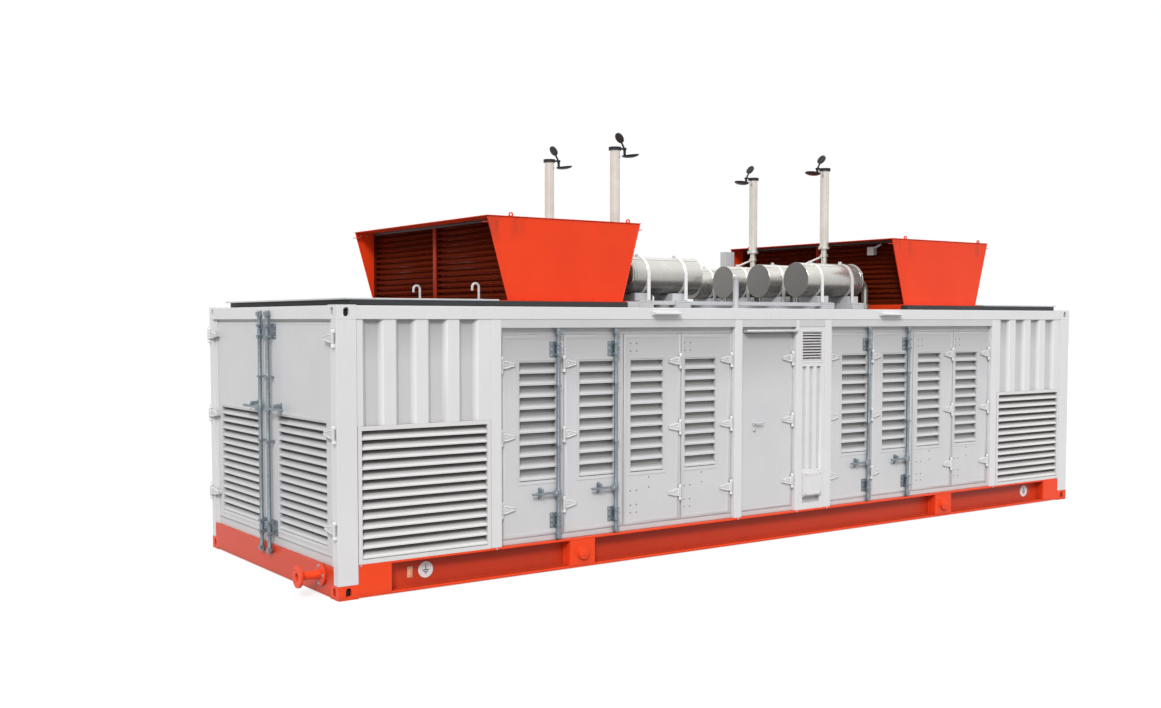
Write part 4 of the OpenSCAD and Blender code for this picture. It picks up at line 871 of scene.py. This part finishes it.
rodLook = {"guideFace": 0.0063, "catchFace": 0.0083, "catchAt": 0.186, "rodRadius": 0.018, "collar": 0.006,
           "guideBolts": (0.018, 0.068, 0.118), "collars": (-0.004, 0.056, 0.080), "boltIn": 0.015,
           "boltSize": 0.0085, "collarEnds": (-0.004, 0.006), "hubAt": 0.046,
           "hubRadii": (0.031, 0.027, 0.016), "hubBack": 0.004, "hubEase": 0.003,
           "hubRivet": (0.0015, 0.005), "hubBolt": (0.006, 0.011), "gripBolts": 0.041, "pinUp": 0.030,
           "pinRadii": (0.015, 0.011), "pinBack": (0.006, 0.002),
           "haspSteps": 8, "haspHalf": 0.011, "haspDrop": 0.020, "haspDeep": 0.016, "haspWire": 0.0032}
bayRod = {"rodIn": 0.024, "grip": 0.715, "guides": [0.394, 1.945], "plateLeft": 0.076, "boltedRight": False,
          "axisOut": 0.030, "hubRise": 0.007}
endRod = {"rodIn": 0.092, "grip": 1.49, "guides": [0.344, 2.110], "plateLeft": 0.082, "plateRight": 0.082,
          "boltedRight": True, "axisOut": 0.051, "hubRise": 0.003}


def dressRod(body, x, seat, rod):
    look, gripY, axisOut = rodLook, rod["grip"], rod["axisOut"]
    bolts, zinc = detail(body, "boltZinc"), detail(body, "zincCoat")
    for low in rod["guides"]:
        for dy in look["guideBolts"]:
            bolts.hexBolt(seat, x - rod["plateLeft"] + look["boltIn"], low + dy, look["guideFace"],
                          look["boltSize"])
            if rod["boltedRight"]:
                bolts.hexBolt(seat, x + rod["plateRight"] - look["boltIn"], low + dy, look["guideFace"],
                              look["boltSize"])
        for dy in look["collars"]:
            zinc.tube(seat, [(x, low + dy + end, axisOut) for end in look["collarEnds"]],
                      look["rodRadius"] + look["collar"], 20)
    catchX, hubX = x - look["catchAt"], x - look["hubAt"]
    for side in (-1, 1):
        bolts.hexBolt(seat, catchX, gripY + side * look["gripBolts"], look["catchFace"], look["boltSize"])
    front = axisOut + look["rodRadius"] + look["collar"]
    hubFront = front + rod["hubRise"]
    wide, eased, inner = look["hubRadii"]
    zinc.turned(seat, hubX, gripY, [(wide, front - look["hubBack"]), (wide, hubFront - look["hubEase"]),
                                    (eased, hubFront), (inner, hubFront)], 24)
    # an end rod has a rivet here, so that it stays as flat as the real one
    fasten = bolts.rivet if rod["boltedRight"] else bolts.hexBolt
    lift, size = look["hubRivet"] if rod["boltedRight"] else look["hubBolt"]
    fasten(seat, hubX, gripY, front + lift, size)
    pinWide, pinEased = look["pinRadii"]
    pinEnd, pinFront = [front - back for back in look["pinBack"]]
    zinc.turned(seat, catchX, gripY + look["pinUp"], [(pinWide, look["catchFace"]), (pinWide, pinEnd),
                                                      (pinEased, pinFront)], 18)
    # the lock hasp hangs from the catch
    turns = [math.pi * step / look["haspSteps"] for step in range(look["haspSteps"] + 1)]
    top, depth = gripY - look["haspDrop"], front - look["hubBack"]
    hasp = [(catchX + look["haspHalf"] * math.cos(turn), top - look["haspDeep"] * math.sin(turn), depth)
            for turn in turns]
    bolts.tube(seat, hasp, look["haspWire"])


for body, number in leafNames:
    if number > 1:
        continue
    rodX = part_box(body.replace("bay_door", "lock_rod"))[1][0] - bayRod["rodIn"]
    faceY = hingeAt[body][1] + bayLeaf["faceIn"]
    dressRod(body, rodX, sideSeat(0, faceY, -1), bayRod)
    dressRod("shell", rodX, sideSeat(0, -faceY, 1), bayRod)
for body, toMiddle in endLeaves:
    x, y, z = hingeAt[body]
    faceX = x + endLeaf["faceIn"]
    rodAt = abs(y) - endRod["rodIn"]
    dressRod(body, rodAt, endSeat(faceX, y, -1, toMiddle), endRod)
    dressRod("shell", rodAt, endSeat(-faceX, y, 1, toMiddle), endRod)
print("rods dressed")


# shell: hinge pins, side louvres, grille, cable box and post feet

shellBolts = detail("shell", "boltZinc")
pinLook = {"reach": 0.0753, "radius": 0.009, "lip": 0.003, "rise": 0.005}
pinPlaces = []
for body, (x, y, z) in hingeAt.items():
    onEnd = body.startswith("end_leaf")
    heights = endLeaf["hinges"] if onEnd else bayLeaf["hinges"]
    columns = [(x, y)]
    if onEnd:
        columns.append((-x, y))
    elif body != "entry_door":
        columns.append((x, -y))
    pinPlaces += [(*column, height) for column in columns for height in heights]
for x, y, height in pinPlaces:
    for side in (-1, 1):
        base, radius = height + side * pinLook["reach"], pinLook["radius"]
        shellBolts.turned(topSeat(0, 0, 0), x, y, [(radius, base), (radius, base + side * pinLook["lip"]),
                                                   (radius * 0.6, base + side * pinLook["rise"])], 12)

sideLook = {"starts": (-4.822, 3.552), "width": 1.27, "faceY": 1.498, "low": 0.28, "high": 1.409,
            "bar": 0.032, "meshDepth": 0.0572, "inset": 0.004}
for out in (-1, 1):
    for start in sideLook["starts"]:
        lap = sideLook["inset"] + sideLook["bar"]
        wireSheet("shell", sideSeat(0, out * sideLook["faceY"], out), start + lap,
                  start + sideLook["width"] - lap,
                  sideLook["low"] + sideLook["bar"], sideLook["high"] - sideLook["bar"],
                  sideLook["meshDepth"])

columnLook = {"middle": 0.403, "faceY": -1.492, "grilleLow": 1.84, "grilleHigh": 2.16, "grilleHalf": 0.151,
              "meshDepth": 0.0265, "meshIn": 0.008, "border": 0.012}
seat = sideSeat(columnLook["middle"], columnLook["faceY"], -1)
half, low, high = columnLook["grilleHalf"], columnLook["grilleLow"], columnLook["grilleHigh"]
lap, border = columnLook["meshIn"], columnLook["border"]
wireSheet("shell", seat, -half + lap, half - lap, low + lap, high - lap, columnLook["meshDepth"])
detail("shell", "shellPaint").rim(seat, -half - border, half + border, low - border, high + border,
                                  foldProfile(0.014, 0.003, 0.0008, 0.0008))
for x in (-half - 0.005, half + 0.005):
    for y in (low + 0.01, high - 0.01):
        shellBolts.rivet(seat, x, y, 0.003, 0.0045)

boxLook = {"face": -1.522, "half": 0.128, "low": 0.432, "high": 0.672, "screwIn": 0.019,
           "screw": [(0.0075, 0.0018), (0.0075, 0.0040), (0.0055, 0.0058), (0.0030, 0.0058)]}
seat = sideSeat(columnLook["middle"], boxLook["face"], -1)
half, low, high, screwIn = boxLook["half"], boxLook["low"], boxLook["high"], boxLook["screwIn"]
detail("shell", "shellPaint").rim(seat, -half, half, low, high,
                                  foldProfile(0.018, 0.0022, 0.001, 0.0008, 0.010))
for x in (-half + screwIn, half - screwIn):
    for y in (low + screwIn, high - screwIn):
        shellBolts.turned(seat, x, y, boxLook["screw"], 14)

baseLook = {"faceY": 1.5, "webY": 1.4, "boltHeight": 0.269, "postX": [-3.498, -0.6435, 0.19, 0.6435, 3.498],
            "cornerX": [-4.80, 4.80], "boltSize": 0.0085}
discLook = {"x": [-4.155, 4.25], "height": 0.15, "radius": 0.071, "stroke": 0.0035, "markBack": 0.0052,
            "markFront": 0.0075, "stem": 0.043, "bars": [(0.034, 0.002), (0.022, 0.016), (0.010, 0.030)]}
tagLook = {"x": -4.305, "height": 0.147, "halfWide": 0.026, "halfHigh": 0.048, "rise": 0.005,
           "rivetAt": 0.036}
for out in (-1, 1):
    seat = sideSeat(0, out * baseLook["faceY"], out)
    for x in baseLook["postX"] + baseLook["cornerX"]:
        shellBolts.hexBolt(seat, x, baseLook["boltHeight"], -0.0002, baseLook["boltSize"])
    seat = sideSeat(0, out * baseLook["webY"], out)
    y, radius, stroke = discLook["height"], discLook["radius"], discLook["stroke"]
    for x in discLook["x"]:
        # an earth disc with the plain earth sign: a stem over three bars
        detail("shell", "shellPaint").turned(seat, x, y,
                                             [(radius, -0.001), (radius, 0.004), (radius - 0.002, 0.006),
                                                          (0.018, 0.006)], 40)
        marks = [(stroke, -0.002, discLook["stem"])]
        marks += [(halfWide, -drop - stroke, -drop + stroke) for halfWide, drop in discLook["bars"]]
        for halfWide, low, high in marks:
            detail("shell", "blackIron").slab(seat, x - halfWide, x + halfWide, y + low, y + high,
                                              discLook["markBack"], discLook["markFront"], 0.0006)
    x, y = tagLook["x"], tagLook["height"]
    detail("shell", "tagPaint").slab(seat, x - tagLook["halfWide"], x + tagLook["halfWide"],
                                     y - tagLook["halfHigh"],
                                     y + tagLook["halfHigh"], -0.001, tagLook["rise"], 0.0012)
    for side in (-1, 1):
        shellBolts.rivet(seat, x, y + side * tagLook["rivetAt"], tagLook["rise"], 0.005)

liftLook = {"x": 2.577, "half": 0.141, "low": 0.026, "high": 0.26, "bossRadius": 0.060, "bossHeight": 0.14,
            "bead": 0.006, "cap": [(0.040, 0.0295), (0.040, 0.0300), (0.036, 0.0308)]}
beads = detail("shell", "basePaint")
for out in (-1, 1):
    seat = sideSeat(0, out * baseLook["faceY"], out)
    webSeat = sideSeat(0, out * baseLook["webY"], out)
    for x in (-liftLook["x"], liftLook["x"]):
        beads.hoop(seat, x, liftLook["bossHeight"], 0.0, liftLook["bossRadius"], liftLook["bead"], 40, 8)
        beads.turned(seat, x, liftLook["bossHeight"], liftLook["cap"], 32)
        for edge in (x - liftLook["half"], x + liftLook["half"]):
            beads.tube(webSeat, [(edge, liftLook[end], 0.002) for end in ("low", "high")], liftLook["bead"])

# dark slabs inside the hollow corner castings, seen through their holes: painted shade for their dark inside
castingShadeLook = {"x": 4.911, "y": 1.419, "heights": (0.059, 2.3353), "halfX": 0.058, "halfY": 0.050,
               "halfZ": 0.028}
halfX, halfY, halfZ = castingShadeLook["halfX"], castingShadeLook["halfY"], castingShadeLook["halfZ"]
for x in (-castingShadeLook["x"], castingShadeLook["x"]):
    for y in (-castingShadeLook["y"], castingShadeLook["y"]):
        for z in castingShadeLook["heights"]:
            detail("shell", "blackIron").slab(sideSeat(x, y, -1, 1, z), -halfX, halfX, -halfZ, halfZ, -halfY,
                                              halfY, 0.002)

gasLook = {"faceX": -5.02, "gasketX": -5.0002, "y": -1.17, "z": 0.172, "circle": 0.0725, "boltSize": 0.013,
           "gasket": [(0.094, -0.0015), (0.094, 0.0015), (0.092, 0.002)]}
boltRing(endSeat(gasLook["faceX"], gasLook["y"], -1, 1, gasLook["z"]), gasLook["circle"], 4,
         gasLook["boltSize"])
detail("shell", "rubber").turned(endSeat(gasLook["gasketX"], gasLook["y"], -1, 1, gasLook["z"]), 0, 0,
                                 gasLook["gasket"], 40)
print("shell dressed")


# roof: hoods, silencers, stacks and vents

hoodDress = {"edgeBead": 0.0075, "edgeIn": (0.003, 0.004), "edgeUp": (0.002, -0.012), "edgeBack": -0.003,
             "flangeY": 1.36, "flangeBolts": 9, "flangeStart": -0.60, "flangePitch": 0.15,
             "sideBolts": (-0.79, -0.72, 0.72, 0.79), "boltDrop": 0.035, "boltSize": 0.0085, "sheet": 0.006,
             "wallX": 0.638, "wallHalf": 1.318, "postHalf": 0.031, "jambHalf": 0.014,
             "sheets": (-1.305, 0.03), "sheetWide": 1.275, "sheetIn": 0.026, "sheetBack": -0.0452,
             "sheetFront": -0.0444}


def dressHoodSide(centreX, out):
    edges = detail("shell", "hoodPaint")
    seat = sideSeat(centreX, out * hoodLook["sideY"], out)
    inward, up, back = hoodDress["edgeIn"], hoodDress["edgeUp"], hoodDress["edgeBack"]
    for side in (-1, 1):
        foot = (side * (hoodLook["footHalf"] - inward[0]), hoodLook["footZ"] + up[0], back)
        head = (side * (hoodLook["topHalf"] - inward[1]), hoodLook["topZ"] + up[1], back)
        edges.tube(seat, [foot, head], hoodDress["edgeBead"])
    top = topSeat(centreX, out * hoodDress["flangeY"], hoodLook["footZ"])
    for step in range(hoodDress["flangeBolts"]):
        along = hoodDress["flangeStart"] + step * hoodDress["flangePitch"]
        edges.hexBolt(top, along, 0, 0.0, hoodDress["boltSize"])
    inner = sideSeat(centreX, out * (hoodLook["sideY"] - hoodDress["sheet"]), -out)
    for x in hoodDress["sideBolts"]:
        shellBolts.hexBolt(inner, x, hoodLook["topZ"] - hoodDress["boltDrop"], 0.0, hoodDress["boltSize"])


def dressHoodWall(centreX, out):
    # louvre wall: middle post cover, top rail, jamb folds and the sheets behind the blades; cover, folds and
    # sheets are dark red as painted shade
    wall = endSeat(centreX + out * hoodDress["wallX"], 0, out)
    low, high = hoodLook["footZ"] + 0.001, hoodLook["topZ"] - 0.008
    post, half, jamb = hoodDress["postHalf"], hoodDress["wallHalf"], hoodDress["jambHalf"]
    detail("shell", "hoodBar").slab(wall, -post, post, low, high - 0.02, -0.002, 0.006, 0.001)
    detail("shell", "slateBar").slab(wall, -half, half, high - 0.022, high, -0.002, 0.008, 0.001)
    for y in (-half, half):
        detail("shell", "hoodInner").slab(wall, y - jamb, y + jamb, low, high - 0.036, -0.002, 0.004, 0.001)
    for y in hoodDress["sheets"]:
        detail("shell", "hoodBar").slab(wall, y, y + hoodDress["sheetWide"], low + hoodDress["sheetIn"],
                                        high - hoodDress["sheetIn"], hoodDress["sheetBack"],
                                        hoodDress["sheetFront"], 0.0002)


for centreX in (hoodLook["shift"] - hoodLook["centre"], hoodLook["shift"] + hoodLook["centre"]):
    for out in (-1, 1):
        dressHoodSide(centreX, out)
    for out in (-1, 1):
        dressHoodWall(centreX, out)

drumLook = {"rows": [-0.8, -0.2, 0.4, 1.0], "height": 2.7273, "radius": 0.191, "groupX": 0.08, "flatAt": 0.77,
            "length": 0.885, "straps": [0.225, 0.71], "footX": [0.285, 0.77], "legX": 1.903, "roof": 2.3943,
            "seamTurn": 2.2, "seamBead": 0.0028, "seamEnd": 0.01, "clampUp": 0.017, "clampOut": 0.013,
            "clampBolt": 0.006, "earHalf": 0.013, "earGap": 0.011, "earReach": (0.002, 0.026),
            "earThick": 0.002}
# round beads on a drum: place along it, how far outside its skin, thickness and sides
drumBeads = [(0.004, 0.0, 0.0026, 6), (drumLook["length"], 0.001, 0.0055, 8),
             (drumLook["length"] - 0.03, 0.0, 0.003, 6)]
# and on its end pipe: place along the drum, radius and thickness
pipeBeads = [(drumLook["length"] + 0.063, 0.040, 0.005), (drumLook["length"] + 0.133, 0.0385, 0.0028)]
footLook = {"legTop": 0.062, "legRing": 0.0445, "legBolt": 0.0045, "legBead": 0.0395, "beamTop": 0.076,
            "boltY": (-1.0, 1.2), "boltOut": 0.06, "boltSize": 0.010, "endY": (-1.03, 1.23), "endHalf": 0.088,
            "endLow": 0.008, "endHigh": 0.070}


def dressDrum(side, y):
    drums, clamps = detail("shell", "drumSteel"), detail("shell", "strapSteel")
    face = endSeat(drumLook["groupX"] + side * drumLook["flatAt"], y, side, 1, drumLook["height"])
    radius, length = drumLook["radius"], drumLook["length"]
    for along, proud, thickness, sides in drumBeads:
        drums.hoop(face, 0, 0, along, radius + proud, thickness, 48, sides)
    seam = onCircle(0, 0, radius, drumLook["seamTurn"])
    drums.tube(face, [(*seam, along) for along in (drumLook["seamEnd"], length - drumLook["seamEnd"])],
               drumLook["seamBead"], 6)
    for along, pipeRadius, thickness in pipeBeads:
        drums.hoop(face, 0, 0, along, pipeRadius, thickness, 28)
    half, thick = drumLook["earHalf"], drumLook["earThick"]
    low, high = [radius + reach for reach in drumLook["earReach"]]
    for at in drumLook["straps"]:
        for z in (at - drumLook["earGap"], at + drumLook["earGap"]):
            clamps.slab(face, -half, half, low, high, z - thick, z + thick, 0.001)
        for turned in (1, -1):
            place = face @ Vector((0, radius + drumLook["clampUp"], at + turned * drumLook["clampOut"]))
            shellBolts.hexBolt(endSeat(place.x, place.y, turned * side, 1, place.z), 0, 0, 0.0,
                               drumLook["clampBolt"])
    foot = topSeat(drumLook["groupX"] + side * drumLook["legX"], y, drumLook["roof"] + footLook["legTop"])
    boltRing(foot, footLook["legRing"], 4, footLook["legBolt"], math.pi / 4)
    drums.hoop(foot, 0, 0, 0.003, footLook["legBead"], 0.004, 24)


for side in (-1, 1):
    for y in drumLook["rows"]:
        dressDrum(side, y)
for side in (-1, 1):
    for at in drumLook["footX"]:
        x = drumLook["groupX"] + side * (drumLook["flatAt"] + at)
        top = topSeat(x, 0, drumLook["roof"] + footLook["beamTop"])
        for y in footLook["boltY"]:
            for across in (-footLook["boltOut"], footLook["boltOut"]):
                shellBolts.hexBolt(top, across, y, 0.0, footLook["boltSize"])
        for y in footLook["endY"]:
            end = sideSeat(x, y, -1 if y < 0 else 1, 1, drumLook["roof"])
            detail("shell", "feetPaint").rim(end, -footLook["endHalf"], footLook["endHalf"],
                                             footLook["endLow"],
                                             footLook["endHigh"], foldProfile(0.008, 0.0025))

stackLook = {"x": [-1.444, 1.604], "y": [-0.5, 0.7], "flange": 3.108, "flangeThick": 0.022, "radius": 0.053,
             "earAt": 0.070, "earBolt": 0.010, "stay": 3.03, "collar": 4.028, "foot": 2.4706,
             "lowRadius": 0.035,
             "footRing": [(0.058, -0.0002), (0.058, 0.006), (0.055, 0.009), (0.035, 0.009)],
             "flangeBead": 0.005, "footBead": 0.006, "capBolt": (0.065, 0.011), "stayBolt": (0.044, 0.009)}


def dressStack(x, y):
    pipes = detail("shell", "pipeSteel")
    seat, flange, foot = topSeat(x, y, 0), stackLook["flange"], stackLook["foot"]
    for side in (-1, 1):
        ear, size = side * stackLook["earAt"], stackLook["earBolt"]
        shellBolts.hexBolt(seat, ear, 0, flange + stackLook["flangeThick"], size)
        shellBolts.turned(seat, ear, 0, [(size, flange - 0.010), (size, flange + 0.001)], 6)
    pipes.hoop(seat, 0, 0, flange + stackLook["flangeThick"] + 0.002, stackLook["radius"],
               stackLook["flangeBead"], 40)
    pipes.hoop(seat, 0, 0, foot + 0.003, stackLook["lowRadius"], stackLook["footBead"])
    pipes.turned(seat, 0, 0, [(radius, foot + height) for radius, height in stackLook["footRing"]], 32)
    for side in (-1, 1):
        detail("shell", "blackIron").hexBolt(sideSeat(x, y, side, 1, stackLook["collar"]), 0, 0,
                                             *stackLook["capBolt"])
        shellBolts.hexBolt(sideSeat(x, y, side, 1, stackLook["stay"]), 0, 0, *stackLook["stayBolt"])


for x in stackLook["x"]:
    for y in stackLook["y"]:
        dressStack(x, y)

ventLook = {"pipes": [(-3.55, -0.2), (-3.466, -1.15)], "top": 2.4586, "rivetTurn": 2.094, "rivetOut": 0.024,
            "plate": [(0.032, -0.0002), (0.032, 0.004), (0.030, 0.006), (0.012, 0.006)],
            "breather": (-0.493, -1.28, 2.4023), "breatherRing": 0.044, "breatherBolt": 0.006}
for x, y in ventLook["pipes"]:
    seat = topSeat(x, y, ventLook["top"])
    detail("shell", "ventPaint").turned(seat, 0, 0, ventLook["plate"], 24)
    for index in range(3):
        shellBolts.rivet(seat, *onCircle(0, 0, ventLook["rivetOut"], index * ventLook["rivetTurn"]), 0.006,
                         0.004)
boltRing(topSeat(*ventLook["breather"]), ventLook["breatherRing"], 6, ventLook["breatherBolt"])

emitDetails()


# floor, world, lamps and camera

def beyondCamera(tree):
    # what the camera sees directly, in a mirror or through glass
    rays = addNode(tree, "ShaderNodeLightPath").outputs
    reflected = mathNode(tree, "MAXIMUM", rays["Is Glossy Ray"], rays["Is Transmission Ray"])
    return mathNode(tree, "MAXIMUM", rays["Is Camera Ray"], reflected)


def makeFloor(look):
    floorMesh = bpy.data.meshes.new("studioFloor")
    reach = look["floorReach"]
    floorMesh.from_pydata([(-reach, -reach, 0), (reach, -reach, 0), (reach, reach, 0), (-reach, reach, 0)],
                          [], [(0, 1, 2, 3)])
    floor = bpy.data.objects.new("studioFloor", floorMesh)
    bpy.context.scene.collection.objects.link(floor)
    floor.location.z = look["floorDrop"]
    material = bpy.data.materials.new("studioFloor")
    material.use_nodes = True
    tree = material.node_tree
    tree.nodes.clear()
    paper = addNode(tree, "ShaderNodeBsdfDiffuse")
    fibres = mapRange(tree, noiseValue(tree, 3.0, 4.0), 0.3, 0.7, look["paper"] - 0.01, look["paper"] + 0.01)
    feed(tree, paper.inputs["Color"], fibres)
    lift = addNode(tree, "ShaderNodeEmission")
    feed(tree, lift.inputs["Strength"], multiplied(tree, beyondCamera(tree), look["lift"]))
    both = addNode(tree, "ShaderNodeAddShader")
    feed(tree, both.inputs[0], paper.outputs[0])
    feed(tree, both.inputs[1], lift.outputs[0])
    feed(tree, addNode(tree, "ShaderNodeOutputMaterial").inputs["Surface"], both.outputs[0])
    floorMesh.materials.append(material)


def makeWorld(look):
    world = bpy.data.worlds.new("studioWorld")
    bpy.context.scene.world = world
    world.use_nodes = True
    tree = world.node_tree
    tree.nodes.clear()
    background = addNode(tree, "ShaderNodeBackground")
    feed(tree, background.inputs["Color"], (1.0, 1.0, 1.0))
    strength = mapRange(tree, beyondCamera(tree), 0.0, 1.0, look["ambient"], 1.0)
    feed(tree, background.inputs["Strength"], strength)
    feed(tree, addNode(tree, "ShaderNodeOutputWorld").inputs["Surface"], background.outputs[0])


def makeLamps(look):
    for name, lamp in look["lamps"].items():
        data = bpy.data.lights.new(name, "SUN")
        data.energy = lamp["strength"]
        data.angle = math.radians(lamp["softness"])
        sun = bpy.data.objects.new(name, data)
        bpy.context.scene.collection.objects.link(sun)
        sun.rotation_euler = Vector(lamp["towards"]).to_track_quat("Z", "Y").to_euler()


def makeCamera(look):
    data = bpy.data.cameras.new("viewCamera")
    data.lens = look["lens"]
    data.sensor_width = look["sensor"]
    data.shift_y = look["shift"]
    data.clip_end = look["farthest"]
    camera = bpy.data.objects.new("viewCamera", data)
    camera.location = look["place"]
    camera.rotation_euler = [math.radians(angle) for angle in look["turn"]]
    bpy.context.scene.collection.objects.link(camera)
    bpy.context.scene.camera = camera


studioLook = {
    "floorReach": 90.0, "floorDrop": -0.001, "paper": 0.30, "lift": 0.71, "ambient": 0.56,
    "lamps": {
        "keySun": {"strength": 2.1, "softness": 14.0, "towards": (-0.55, -0.60, 0.58)},
        "skySun": {"strength": 1.1, "softness": 75.0, "towards": (-0.12, -0.40, 0.91)},
        "fillSun": {"strength": 0.12, "softness": 60.0, "towards": (0.7, 0.8, 0.7)},
    },
}
cameraLook = {"lens": 38.38, "sensor": 36.0, "shift": 0.0245, "farthest": 300.0,
              "place": (-9.1546, -10.6991, 2.2708), "turn": (87.141, 0.0, -35.469)}
makeFloor(studioLook)
makeWorld(studioLook)
makeLamps(studioLook)
makeCamera(cameraLook)
bpy.context.scene.view_settings.view_transform = "Standard"
print("studio ready")
